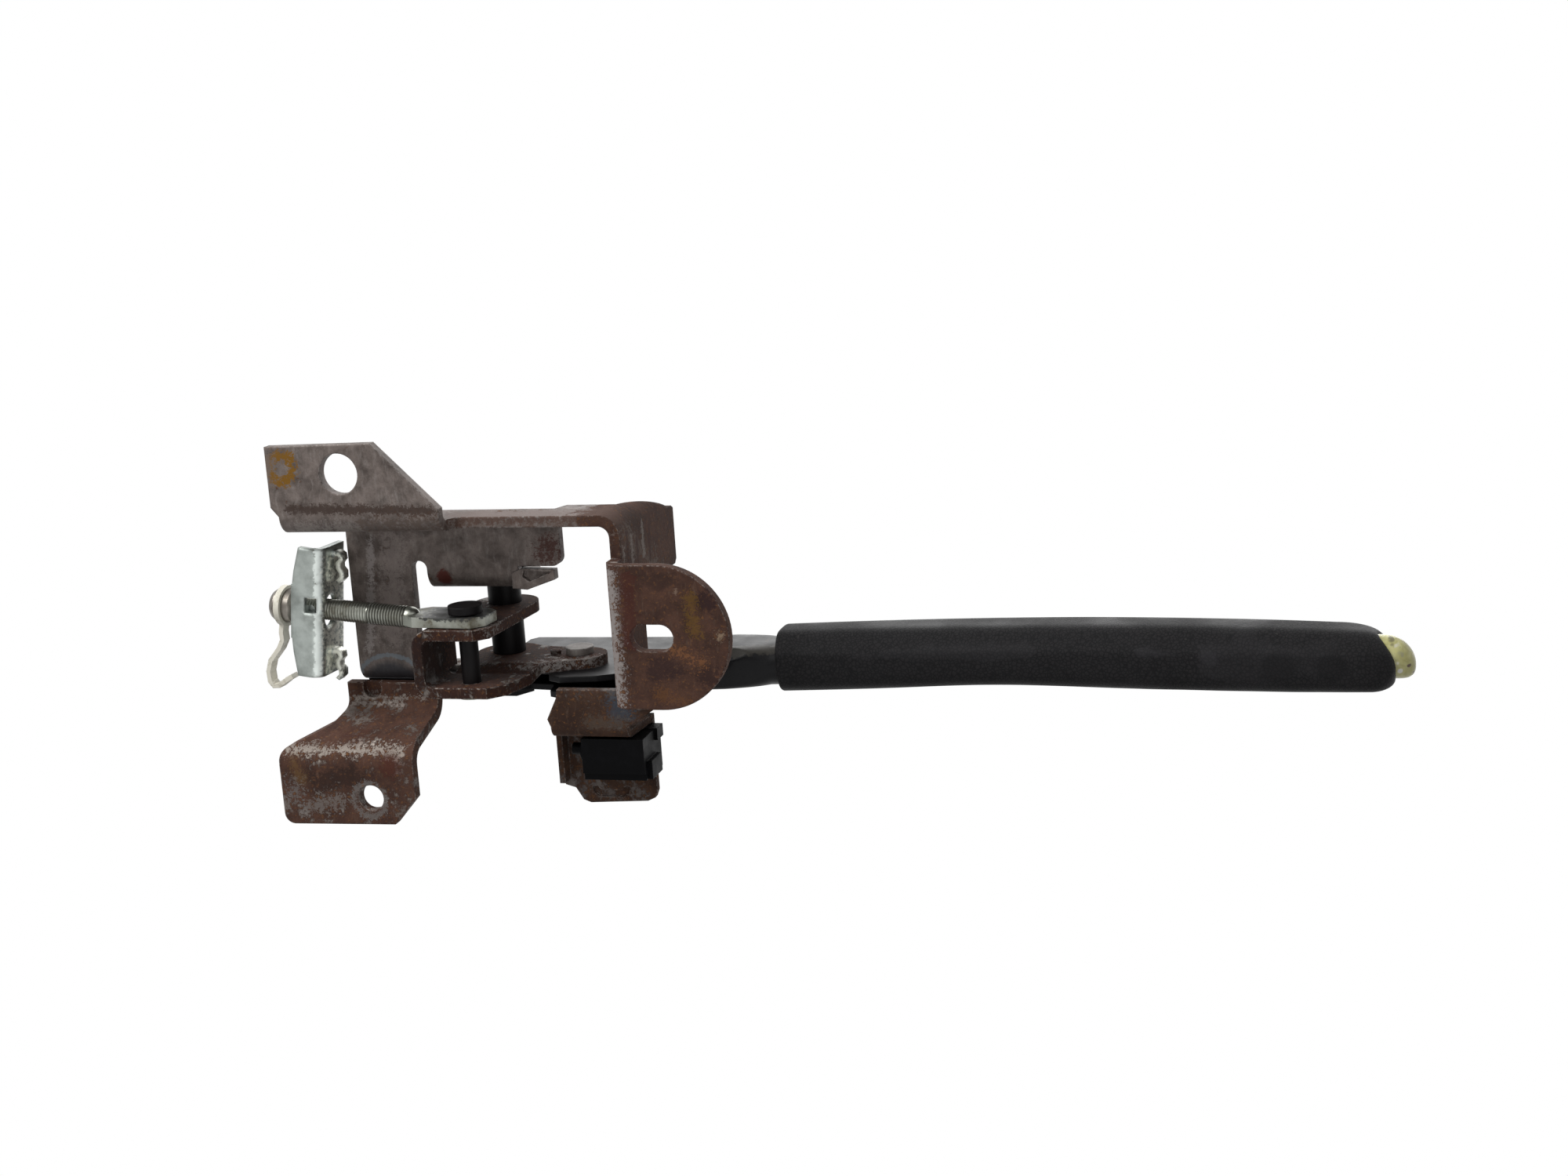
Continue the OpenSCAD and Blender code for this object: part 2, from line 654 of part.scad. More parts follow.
module release_button() {
  color([0.72, 0.70, 0.24]) translate([push_x1 - 6, lever_y, push_z(push_x1)]) rotate([0, 90, 0])
    difference() {
      rotate_extrude() polygon([[0, 0], [4, 0], [4, 6], [6.2, 7], [6.2, 20], [5.7, 23],
        [4.2, 24.4], [0, 25]]);
      translate([0, 0, -1]) cylinder(d = push_d + 0.5, h = 8);
    }
}

module button_guide() {
  color([0.2, 0.2, 0.2]) difference() {
    arched(guide_x, guide_x + guide_t) stadium(tube_w - 2 * tube_wall, tube_h - 2 * tube_wall);
    translate([guide_x - 6, lever_y, push_z(guide_x)]) rotate([0, 90, 0])
      cylinder(d = push_d + 2, h = 20);
  }
}

// compression spring between the guide and the button: a coiled flat wire
module button_spring() {
  turns = 5;
  wire = concat([for (a = [0 : 40 : 120]) polar(3.5, a)], [for (a = [120 : -40 : 0]) polar(2.6, a)]);
  color([0.55, 0.55, 0.55]) translate([guide_x + guide_t + 0.4, lever_y, push_z(guide_x)])
    rotate([0, 90 - push_rise, 0])
    linear_extrude(17, twist = -360 * turns, slices = 12 * turns, $fn = 4) polygon(wire);
}

module clevis_pin() {
  color([0.12, 0.12, 0.13]) {
    bar_y(clevis_x, clevis_z, eye_y0 - 1, fork_y1 + crank_t + 1.7, pin_d);
    bar_y(clevis_x, clevis_z, eye_y0 - run_gap - 2.6, eye_y0 - run_gap, 11);
  }
}

module clevis_clip() {
  y0 = fork_y1 + crank_t;
  color([0.5, 0.5, 0.46]) difference() {
    bar_y(clevis_x, clevis_z, y0, y0 + 1.2, 9.6);
    bar_y(clevis_x, clevis_z, y0 - 1, y0 + 3, pin_d);
    translate([clevis_x - 8, y0 - 1, clevis_z - 1.2]) cube([8, 4, 2.4]);
  }
}

module adjuster_rod() {
  rod_end = nut_x - nut_l + 0.6;
  root_d = rod_d - 0.8;
  thread_s = -34;
  color([0.62, 0.62, 0.58]) {
    on_rod() difference() {
      translate([0, eye_t / 2, 0]) rotate([90, 0, 0]) linear_extrude(eye_t)
        polygon([[neck_s - 4, -3], [neck_s + 2, -6.6], [4.5, -6.6], [8, -2.5], [8, 5.5], [4.5, 8.2],
          [neck_s + 2, 8.2], [neck_s - 4, 3]]);
      rotate([90, 0, 0]) cylinder(d = pin_d + 2 * shaft_gap, h = 20, center = true);
    }
    on_stem() {
      translate([neck_s - 2, 0, 0]) sphere(d = rod_d);
      translate([rod_end, 0, 0]) rotate([0, 90, 0]) cylinder(d = root_d, h = neck_s - 2 - rod_end);
      translate([thread_s, 0, 0]) rotate([0, 90, 0]) cylinder(d = rod_d, h = neck_s - 2 - thread_s);
      for (i = [0 : floor(thread_s - rod_end) - 1]) translate([rod_end + i, 0, 0])
        rotate([0, 90, 0]) {
          cylinder(d1 = root_d, d2 = rod_d, h = 0.5);
          translate([0, 0, 0.5]) cylinder(d1 = rod_d, d2 = root_d, h = 0.5);
        }
    }
  }
}

// round nut with a domed seat, so that the equalizer can tip on it
module adjuster_nut() {
  bore_r = rod_d / 2;
  color([0.22, 0.21, 0.19]) on_stem() difference() {
    translate([nut_x, 0, 0]) rotate([0, -90, 0]) rotate_extrude()
      polygon([[0, 0], [bore_r + 0.7, 0], [nut_r, 1.6], [nut_r, nut_l - 1.8], [nut_r - 0.8, nut_l - 0.5],
        [nut_r - 1.4, nut_l], [0, nut_l]]);
    translate([nut_x - nut_l - 1, 0, 0]) rotate([0, 90, 0]) cylinder(d = rod_d, h = nut_l + 2);
  }
}

// middle line of the keeper's tail, from the nut's front
keeper = [[-5, nut_r], [-5.4, 8.4], [-5.1, 11], [-6.5, 14], [-9.9, 18.4], [-10.9, 22.2], [-10.5, 25.6],
  [-9.2, 27], [-7.2, 26.7], [-4, 24.2], [-2, 23]];
// point beside the keeper's middle line, by half its thickness
function beside(i, t) = let (a = keeper[max(i - 1, 0)], b = keeper[min(i + 1, len(keeper) - 1)], d = b - a)
  keeper[i] + t * [-d[1], d[0]] / norm(d);

// keeper round the nut with a bent tail
module nut_clip() {
  half_t = 0.8;
  last = len(keeper) - 1;
  color([0.80, 0.80, 0.70]) on_stem() translate([nut_x, 0, 0]) {
    difference() {
      translate([-6, 0, 0]) rotate([0, 90, 0]) cylinder(r = nut_r + 1.1, h = 2);
      translate([-7, 0, 0]) rotate([0, 90, 0]) cylinder(r = nut_r, h = 4);
    }
    translate([0, 0, -3.6]) linear_extrude(3.6)
      polygon(concat([for (i = [0 : last]) beside(i, half_t)],
        [for (i = [last : -1 : 0]) beside(i, -half_t)]));
  }
}

// one cable tongue, curled out of the yoke's front flange
module yoke_hook(y) {
  x = yoke_w / 2 - 0.4;
  translate([0, y, 1]) linear_extrude(3.4)
    polygon([for (p = [[0, 0], [1.8, -0.4], [3.6, 0.6], [4, 2.4], [2.9, 4], [3, 5.2], [4.2, 6.4],
      [4.3, 8.6], [2.9, 10.2], [1.6, 9.6], [2.8, 8.2], [2.7, 7], [1.5, 5.6], [1.5, 3.6], [2.6, 2.2],
      [2, 1.2], [0, 1.6]]) [x + p[0], p[1]]]);
}

module equalizer() {
  h = yoke_l / 2;
  w = yoke_w / 2;
  color([0.45, 0.45, 0.42]) on_stem() translate([yoke_s, 0, 0]) rotate([0, 0, yoke_yaw]) difference() {
    union() {
      translate([0, 0, face_z]) linear_extrude(yoke_t)
        polygon([[w - yoke_r, -h], [w - yoke_r, h], [2.6 - w, h], [0.9 - w, h - 8], [-w, 6], [-w, -6],
          [0.9 - w, 8 - h], [2.6 - w, -h]]);
      translate([w - yoke_r, h, face_z + yoke_r]) rotate([90, 0, 0]) linear_extrude(2 * h)
        bend_face(yoke_r, yoke_r - yoke_t);
      translate([w - yoke_t, -h, face_z + yoke_r]) cube([yoke_t, 2 * h, yoke_h - yoke_r]);
      translate([-w, -9, face_z]) cube([yoke_t, 18, yoke_h - 3]);
      translate([0, 0, face_z + yoke_t - 0.2]) cylinder(d = 4, h = 1.4);
      yoke_hook(2 - h);
      yoke_hook(h - 8);
    }
    rotate([0, 90, 0]) linear_extrude(40, center = true) stadium(rod_d + 0.6, rod_d + 4.2);
    translate([-0.6, -5.2, face_z - 1]) cube([4.2, 5.2, 4]);
  }
}

main_bracket();
left_foot();
sector_plate();
sector_rivet_rear();
sector_rivet_front();
pivot_bolt();
pivot_nut();
switch_bracket();
switch_body();
switch_rivet();
switch_plunger();
lever_arm();
pivot_bush();
crank();
crank_rivet();
grip();
pawl_pin();
pawl();
release_rod();
release_button();
button_guide();
button_spring();
clevis_pin();
clevis_clip();
adjuster_rod();
adjuster_nut();
nut_clip();
equalizer();
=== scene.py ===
"""Parking brake lever, dressed for the studio.

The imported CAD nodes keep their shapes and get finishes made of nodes. The grip's
skin, the release button and the lever's neck are surfaces worked out with numpy.
"""
import logging
from dataclasses import dataclass, field
from enum import Enum

import bpy
import numpy as np
from mathutils import Matrix, Vector


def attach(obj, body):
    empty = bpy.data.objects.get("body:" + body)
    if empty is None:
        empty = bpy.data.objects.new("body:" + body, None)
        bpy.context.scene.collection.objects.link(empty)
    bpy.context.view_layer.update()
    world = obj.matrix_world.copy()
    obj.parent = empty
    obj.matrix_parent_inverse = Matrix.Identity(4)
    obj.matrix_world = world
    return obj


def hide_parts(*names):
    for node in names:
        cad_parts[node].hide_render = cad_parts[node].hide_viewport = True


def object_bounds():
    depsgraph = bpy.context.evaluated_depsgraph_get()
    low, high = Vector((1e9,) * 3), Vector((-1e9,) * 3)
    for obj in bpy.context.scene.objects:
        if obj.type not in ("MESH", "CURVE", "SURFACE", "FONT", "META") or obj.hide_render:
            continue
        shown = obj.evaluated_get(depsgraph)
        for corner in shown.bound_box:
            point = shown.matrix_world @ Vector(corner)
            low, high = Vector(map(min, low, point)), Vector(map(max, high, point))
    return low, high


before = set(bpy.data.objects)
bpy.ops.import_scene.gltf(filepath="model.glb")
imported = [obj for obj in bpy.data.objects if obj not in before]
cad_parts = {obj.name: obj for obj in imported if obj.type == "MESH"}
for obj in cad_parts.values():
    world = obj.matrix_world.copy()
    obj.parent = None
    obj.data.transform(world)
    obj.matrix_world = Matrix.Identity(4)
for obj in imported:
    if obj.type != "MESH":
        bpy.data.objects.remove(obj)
CAD_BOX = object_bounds()
MM = 0.001
STRETCH = 10.0  # noise about 0.5 varies little, so a mark's rim is frayed by ten times it
LOG = logging.getLogger("brake_lever")

Point = tuple[float, float, float]


class Body(Enum):
    """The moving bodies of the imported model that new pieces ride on."""

    LEVER = "lever"
    BUTTON = "button"


class Slot(Enum):
    """Names of the record's material slots for the grip, the button and the paint."""

    GRIP = "grip_skin"
    BUTTON = "button_resin"
    PAINT = "black_paint"


def linear(code: str) -> tuple[float, float, float, float]:
    """Turns an sRGB hex value into a linear colour.

    Args:
        code: The colour as "#RRGGBB".

    Returns:
        Red, green, blue and an alpha of 1, linear.
    """
    srgb = np.array([int(code[i:i + 2], 16) for i in (1, 3, 5)]) / 255.0
    rgb = np.where(srgb <= 0.04045, srgb / 12.92, ((srgb + 0.055) / 1.055) ** 2.4)
    return (float(rgb[0]), float(rgb[1]), float(rgb[2]), 1.0)


def add(tree: bpy.types.NodeTree, kind: str, feeds: dict | None = None,
        **settings: object) -> bpy.types.Node:
    """Adds one node, sets it up and feeds its sockets.

    Args:
        tree: The node tree that gets the node.
        kind: The node's type.
        feeds: Input sockets by name or number; an output socket is linked, any
            other value is set on the socket itself.
        **settings: The node's own options.

    Returns:
        The new node.
    """
    node = tree.nodes.new(kind)
    for key, value in settings.items():
        setattr(node, key, value)
    for key, value in (feeds or {}).items():
        if isinstance(value, bpy.types.NodeSocket):
            tree.links.new(value, node.inputs[key])
        else:
            node.inputs[key].default_value = value
    return node


@dataclass(frozen=True)
class Mark:
    """A stain, scuff, heat tint, painted highlight or painted shade round a place or along a line on a part, sizes in
    mm.
    """

    at: Point
    radius: float
    colour: str
    to: Point | None = None
    hollow: float = 0.0
    strength: float = 0.8
    squeeze: Point = (1.0, 1.0, 0.4)
    fray: float = 0.5

    def lay(self, tree: bpy.types.NodeTree, place: bpy.types.NodeSocket,
            noise: bpy.types.NodeSocket, under: bpy.types.NodeSocket) -> bpy.types.NodeSocket:
        """Paints the mark over a colour.

        The distance from the mark's middle, or from the nearest point of its line, is
        measured longer along squeezed axes, frayed by noise, and fades the mark out at
        its rim and inside its hollow.

        Args:
            tree: The material's nodes.
            place: Object coordinates.
            noise: Noise about 0.5 that frays the rim.
            under: The colour below.

        Returns:
            The colour with the mark on it.
        """
        shift = add(tree, "ShaderNodeVectorMath", {0: place, 1: tuple(-v * MM for v in self.at)},
                    operation="ADD").outputs[0]
        if self.to:
            line = (np.array(self.to) - np.array(self.at)) * MM
            share = add(tree, "ShaderNodeVectorMath", {0: shift, 1: tuple(line / (line @ line))},
                        operation="DOT_PRODUCT").outputs["Value"]
            share = add(tree, "ShaderNodeClamp", {0: share}).outputs[0]
            foot = add(tree, "ShaderNodeVectorMath", {0: tuple(line), "Scale": share},
                       operation="SCALE").outputs[0]
            shift = add(tree, "ShaderNodeVectorMath", {0: shift, 1: foot}, operation="SUBTRACT").outputs[0]
        scaled = add(tree, "ShaderNodeVectorMath", {0: shift, 1: self.squeeze},
                     operation="MULTIPLY").outputs[0]
        away = add(tree, "ShaderNodeVectorMath", {0: scaled}, operation="LENGTH").outputs["Value"]
        rough = self.fray * self.radius * MM
        away = add(tree, "ShaderNodeMath", {0: noise, 1: STRETCH * rough, 2: away},
                   operation="MULTIPLY_ADD").outputs[0]
        rim = self.radius * MM + STRETCH / 2 * rough
        soft = (0.28 + 0.5 * self.fray) * self.radius * (1 - self.hollow) * MM
        mask = add(tree, "ShaderNodeMapRange", {"Value": away, "From Min": rim, "From Max": rim - soft,
                   "To Max": self.strength}, interpolation_type="SMOOTHSTEP").outputs[0]
        if self.hollow:
            inner = rim - (1 - self.hollow) * self.radius * MM
            rest = add(tree, "ShaderNodeMapRange", {"Value": away, "From Min": inner - soft, "From Max": inner},
                       interpolation_type="SMOOTHSTEP").outputs[0]
            mask = add(tree, "ShaderNodeMath", {0: mask, 1: rest}, operation="MULTIPLY").outputs[0]
        return add(tree, "ShaderNodeMix", {0: mask, 6: under, 7: linear(self.colour)},
                   data_type="RGBA").outputs[2]


@dataclass(frozen=True)
class Finish:
    """A named material whose shader is fed by nodes."""

    name: str

    def feed(self, tree: bpy.types.NodeTree) -> dict:
        """Builds the pattern nodes; returns the shader's sockets and their feeds."""
        raise NotImplementedError

    def material(self) -> bpy.types.Material:
        """Returns the material, made on its first use."""
        made = bpy.data.materials.get(self.name)
        if made is None:
            made = bpy.data.materials.new(self.name)
            made.use_nodes = True
            tree = made.node_tree
            tree.nodes.clear()
            shader = add(tree, "ShaderNodeBsdfPrincipled", self.feed(tree))
            add(tree, "ShaderNodeOutputMaterial", {"Surface": shader.outputs[0]})
        return made


@dataclass(frozen=True)
class PressedSteel(Finish):
    """Hot-rolled sheet steel, pressed: dull scale, rust in patches, bright rubbed edges."""

    bare: str = "#756B66"
    scale: str = "#4A423E"
    rust: str = "#3B2822"
    umber: str = "#553B30"
    ochre: str = "#7E5632"
    char: str = "#2A1B16"
    chafe: str = "#6F5B4E"
    scuff: str = "#A39C98"
    rust_from: float = 0.56
    lean: tuple[float, float] = (60.0, 92.0)
    lean_gain: float = 0.0
    metal: float = 0.35
    wear: float = 0.75
    patch_mm: float = 26.0
    streak: Point = (1.0, 0.3, 0.6)
    marks: tuple[Mark, ...] = ()

    def feed(self, tree: bpy.types.NodeTree) -> dict:
        """Rust grows where three noises and a lean along the part add up past a level.

        The noises stand for rust patches, blots of a few millimetres and pits of about
        one. A fourth, drawn out along the sheet's rolling direction, streaks bare steel
        and rust alike. A bevelled normal against the true one finds the edges, which the
        blots rub bright.

        Args:
            tree: The material's nodes.

        Returns:
            Feeds of the shader's sockets.
        """
        place = add(tree, "ShaderNodeTexCoord").outputs["Object"]
        drawn = add(tree, "ShaderNodeVectorMath", {0: place, 1: self.streak}, operation="MULTIPLY").outputs[0]
        cloud, blot, grit, grain, line = (
            add(tree, "ShaderNodeTexNoise", {"Vector": at, "Scale": 1 / (size * MM), "Detail": 5.0,
                "Roughness": 0.64, "Distortion": 0.3}).outputs[0]
            for at, size in ((place, self.patch_mm), (place, 6.0), (place, 1.3), (place, 0.5), (drawn, 1.5)))
        along = add(tree, "ShaderNodeSeparateXYZ", {0: place}).outputs[0]
        total = add(tree, "ShaderNodeMapRange", {"Value": along, "From Min": self.lean[0] * MM,
                    "From Max": self.lean[1] * MM, "To Max": self.lean_gain},
                    interpolation_type="SMOOTHSTEP").outputs[0]
        for noise, share in ((grit, 0.24), (blot, 0.26), (line, 0.14), (cloud, 0.46)):
            total = add(tree, "ShaderNodeMath", {0: noise, 1: share, 2: total},
                        operation="MULTIPLY_ADD").outputs[0]
        rusted = add(tree, "ShaderNodeMapRange", {"Value": total, "From Min": self.rust_from,
                     "From Max": self.rust_from + 0.06}, interpolation_type="SMOOTHSTEP").outputs[0]

        sheet, flake = linear(self.bare), linear(self.rust)
        for noise, low, high, top, tone in ((blot, 0.36, 0.68, 1.0, self.scale), (line, 0.5, 0.76, 0.3, self.scuff),
                                            (grain, 0.56, 0.7, 0.6, self.scale)):
            share = add(tree, "ShaderNodeMapRange", {"Value": noise, "From Min": low, "From Max": high,
                        "To Max": top}).outputs[0]
            sheet = add(tree, "ShaderNodeMix", {0: share, 6: sheet, 7: linear(tone)}, data_type="RGBA").outputs[2]
        for noise, low, high, top, tone in ((blot, 0.38, 0.64, 0.9, self.umber), (cloud, 0.5, 0.7, 0.75, self.char),
                                            (grit, 0.56, 0.74, 0.75, self.ochre), (grain, 0.6, 0.72, 0.8, self.scale),
                                            (line, 0.58, 0.74, 0.4, self.chafe)):
            share = add(tree, "ShaderNodeMapRange", {"Value": noise, "From Min": low, "From Max": high,
                        "To Max": top}).outputs[0]
            flake = add(tree, "ShaderNodeMix", {0: share, 6: flake, 7: linear(tone)}, data_type="RGBA").outputs[2]
        colour = add(tree, "ShaderNodeMix", {0: rusted, 6: sheet, 7: flake}, data_type="RGBA").outputs[2]

        round_edge = add(tree, "ShaderNodeBevel", {"Radius": 0.8 * MM}, samples=6).outputs[0]
        facing = add(tree, "ShaderNodeNewGeometry").outputs["Normal"]
        turn = add(tree, "ShaderNodeVectorMath", {0: round_edge, 1: facing},
                   operation="DOT_PRODUCT").outputs["Value"]
        edge = add(tree, "ShaderNodeMapRange", {"Value": turn, "From Min": 0.985, "From Max": 0.86,
                   "To Max": self.wear}).outputs[0]
        broken = add(tree, "ShaderNodeMapRange", {"Value": grit, "From Min": 0.46, "From Max": 0.62}).outputs[0]
        rubbed = add(tree, "ShaderNodeMath", {0: edge, 1: broken}, operation="MULTIPLY").outputs[0]
        colour = add(tree, "ShaderNodeMix", {0: rubbed, 6: colour, 7: linear(self.scuff)},
                     data_type="RGBA").outputs[2]
        tear = add(tree, "ShaderNodeMath", {0: blot, 1: 0.25}, operation="MULTIPLY").outputs[0]
        for noise, share in ((grit, 0.45), (grain, 0.3)):
            tear = add(tree, "ShaderNodeMath", {0: noise, 1: share, 2: tear}, operation="MULTIPLY_ADD").outputs[0]
        for mark in self.marks:
            colour = mark.lay(tree, place, tear, colour)

        rough = add(tree, "ShaderNodeMapRange", {"Value": rusted, "To Min": 0.56, "To Max": 0.85}).outputs[0]
        metal = add(tree, "ShaderNodeMapRange", {"Value": rusted, "To Min": self.metal, "To Max": 0.04}).outputs[0]
        swell = add(tree, "ShaderNodeMath", {0: rusted, 1: 0.5, 2: grit}, operation="MULTIPLY_ADD").outputs[0]
        bump = add(tree, "ShaderNodeBump", {"Strength": 0.6, "Distance": 0.22 * MM, "Height": swell,
                   "Normal": round_edge}).outputs[0]
        return {"Base Color": colour, "Metallic": metal, "Roughness": rough, "Normal": bump,
                "Specular IOR Level": 0.2}


@dataclass(frozen=True)
class BlackEnamel(Finish):
    """Stoved black enamel or black oxide on steel: satin, dusty, grey where it is rubbed."""

    ground: str = "#0E0E10"
    dust: str = "#242425"
    worn: str = "#5C5955"
    rough: tuple[float, float] = (0.36, 0.55)
    wear: float = 0.35
    shine: float = 0.13
    marks: tuple[Mark, ...] = ()

    def feed(self, tree: bpy.types.NodeTree) -> dict:
        """Dust lies in broad soft clouds; edges found by a bevelled normal show grey.

        Args:
            tree: The material's nodes.

        Returns:
            Feeds of the shader's sockets.
        """
        place = add(tree, "ShaderNodeTexCoord").outputs["Object"]
        cloud = add(tree, "ShaderNodeTexNoise", {"Vector": place, "Scale": 1 / (14 * MM), "Detail": 7.0,
                    "Roughness": 0.7}).outputs[0]
        peel = add(tree, "ShaderNodeTexNoise", {"Vector": place, "Scale": 1 / (1.4 * MM), "Detail": 2.0}).outputs[0]
        dusty = add(tree, "ShaderNodeMapRange", {"Value": cloud, "From Min": 0.48, "From Max": 0.78,
                    "To Max": 0.8}).outputs[0]
        colour = add(tree, "ShaderNodeMix", {0: dusty, 6: linear(self.ground), 7: linear(self.dust)},
                     data_type="RGBA").outputs[2]
        round_edge = add(tree, "ShaderNodeBevel", {"Radius": 0.6 * MM}, samples=6).outputs[0]
        facing = add(tree, "ShaderNodeNewGeometry").outputs["Normal"]
        turn = add(tree, "ShaderNodeVectorMath", {0: round_edge, 1: facing},
                   operation="DOT_PRODUCT").outputs["Value"]
        edge = add(tree, "ShaderNodeMapRange", {"Value": turn, "From Min": 0.98, "From Max": 0.84,
                   "To Max": self.wear}).outputs[0]
        rubbed = add(tree, "ShaderNodeMath", {0: edge, 1: cloud}, operation="MULTIPLY").outputs[0]
        colour = add(tree, "ShaderNodeMix", {0: rubbed, 6: colour, 7: linear(self.worn)},
                     data_type="RGBA").outputs[2]
        for mark in self.marks:
            colour = mark.lay(tree, place, peel, colour)
        rough = add(tree, "ShaderNodeMapRange", {"Value": cloud, "From Min": 0.3, "From Max": 0.7,
                    "To Min": self.rough[0], "To Max": self.rough[1]}).outputs[0]
        bump = add(tree, "ShaderNodeBump", {"Strength": 0.25, "Distance": 0.06 * MM, "Height": peel,
                   "Normal": round_edge}).outputs[0]
        return {"Base Color": colour, "Roughness": rough, "Normal": bump, "Specular IOR Level": self.shine}


@dataclass(frozen=True)
class ZincPlate(Finish):
    """Bright zinc plating with a thin blue passivation: pale, cloudy, stained where it aged, with painted shade along
    X where a lean is given.
    """

    bright: str = "#A3A9A5"
    cloud: str = "#7C817D"
    stain: str = "#6A6454"
    stain_from: float = 0.58
    lean: tuple[float, float] = (-18.5, -15.5)
    lean_gain: float = 0.0
    rough: tuple[float, float] = (0.3, 0.52)
    edge_mm: float = 0.5
    marks: tuple[Mark, ...] = ()

    def feed(self, tree: bpy.types.NodeTree) -> dict:
        """Plating clouds of some millimetres, olive stains where two noises add up, and a lean along X that adds
        painted shade to the stains.

        Args:
            tree: The material's nodes.

        Returns:
            Feeds of the shader's sockets.
        """
        place = add(tree, "ShaderNodeTexCoord").outputs["Object"]
        cloud = add(tree, "ShaderNodeTexNoise", {"Vector": place, "Scale": 1 / (9 * MM), "Detail": 5.0,
                    "Roughness": 0.6}).outputs[0]
        fleck = add(tree, "ShaderNodeTexNoise", {"Vector": place, "Scale": 1 / (1.3 * MM), "Detail": 4.0,
                    "Roughness": 0.65}).outputs[0]
        dull = add(tree, "ShaderNodeMapRange", {"Value": cloud, "From Min": 0.36, "From Max": 0.66}).outputs[0]
        colour = add(tree, "ShaderNodeMix", {0: dull, 6: linear(self.bright), 7: linear(self.cloud)},
                     data_type="RGBA").outputs[2]
        # The lean along X paints shade: it darkens a flange with the stain colour.
        along = add(tree, "ShaderNodeSeparateXYZ", {0: place}).outputs[0]
        stain_and_shade_level = add(tree, "ShaderNodeMapRange", {"Value": along, "From Min": self.lean[0] * MM,
                   "From Max": self.lean[1] * MM, "To Max": self.lean_gain}).outputs[0]
        for noise, share in ((cloud, 0.55), (fleck, 0.45)):
            stain_and_shade_level = add(tree, "ShaderNodeMath", {0: noise, 1: share, 2: stain_and_shade_level}, operation="MULTIPLY_ADD").outputs[0]
        stain_and_shade = add(tree, "ShaderNodeMapRange", {"Value": stain_and_shade_level, "From Min": self.stain_from,
                      "From Max": self.stain_from + 0.1, "To Max": 0.85},
                      interpolation_type="SMOOTHSTEP").outputs[0]
        colour = add(tree, "ShaderNodeMix", {0: stain_and_shade, 6: colour, 7: linear(self.stain)},
                     data_type="RGBA").outputs[2]
        for mark in self.marks:
            colour = mark.lay(tree, place, fleck, colour)
        rough = add(tree, "ShaderNodeMapRange", {"Value": cloud, "From Min": 0.35, "From Max": 0.65,
                    "To Min": self.rough[0], "To Max": self.rough[1]}).outputs[0]
        metal = add(tree, "ShaderNodeMapRange", {"Value": stain_and_shade, "To Min": 0.92, "To Max": 0.35}).outputs[0]
        round_edge = add(tree, "ShaderNodeBevel", {"Radius": self.edge_mm * MM}, samples=4).outputs[0]
        bump = add(tree, "ShaderNodeBump", {"Strength": 0.25, "Distance": 0.08 * MM, "Height": fleck,
                   "Normal": round_edge}).outputs[0]
        return {"Base Color": colour, "Metallic": metal, "Roughness": rough, "Normal": bump}


@dataclass(frozen=True)
class RolledThread(ZincPlate):
    """Zinc plating over a rolled thread: roots darkened as painted shade between bright crests, sizes in mm."""

    start: Point = (15.04, 49.2, 13.26)
    axis: Point = (-0.99514, -0.06976, 0.06940)
    first: float = 2.5
    last: float = 16.0
    pitch: float = 1.0
    root_shade: str = "#2E2B24"

    def feed(self, tree: bpy.types.NodeTree) -> dict:
        """A triangle wave along the rod's axis raises crests and darkens the roots as painted shade.

        Args:
            tree: The material's nodes.

        Returns:
            Feeds of the shader's sockets.
        """
        feeds = super().feed(tree)
        place = add(tree, "ShaderNodeTexCoord").outputs["Object"]
        shift = add(tree, "ShaderNodeVectorMath", {0: place, 1: tuple(v * MM for v in self.start)},
                    operation="SUBTRACT").outputs[0]
        along = add(tree, "ShaderNodeVectorMath", {0: shift, 1: self.axis}, operation="DOT_PRODUCT").outputs["Value"]
        wave = add(tree, "ShaderNodeMath", {0: along, 1: self.pitch * MM / 2}, operation="PINGPONG").outputs[0]
        deep = add(tree, "ShaderNodeMapRange", {"Value": wave, "From Min": self.pitch * MM / 2,
                   "From Max": 0.0}).outputs[0]
        cut = add(tree, "ShaderNodeMath", {0: along, 1: (self.first + self.last) / 2 * MM,
                  2: (self.last - self.first) / 2 * MM}, operation="COMPARE").outputs[0]
        deep = add(tree, "ShaderNodeMath", {0: deep, 1: cut}, operation="MULTIPLY").outputs[0]
        # Painted shade: the thread's roots are mixed towards a dark colour.
        feeds["Base Color"] = add(tree, "ShaderNodeMix", {0: deep, 6: feeds["Base Color"], 7: linear(self.root_shade)},
                                  data_type="RGBA").outputs[2]
        feeds["Normal"] = add(tree, "ShaderNodeBump", {"Strength": 0.8, "Distance": 0.35 * MM, "Height": deep,
                              "Normal": feeds["Normal"]}, invert=True).outputs[0]
        return feeds


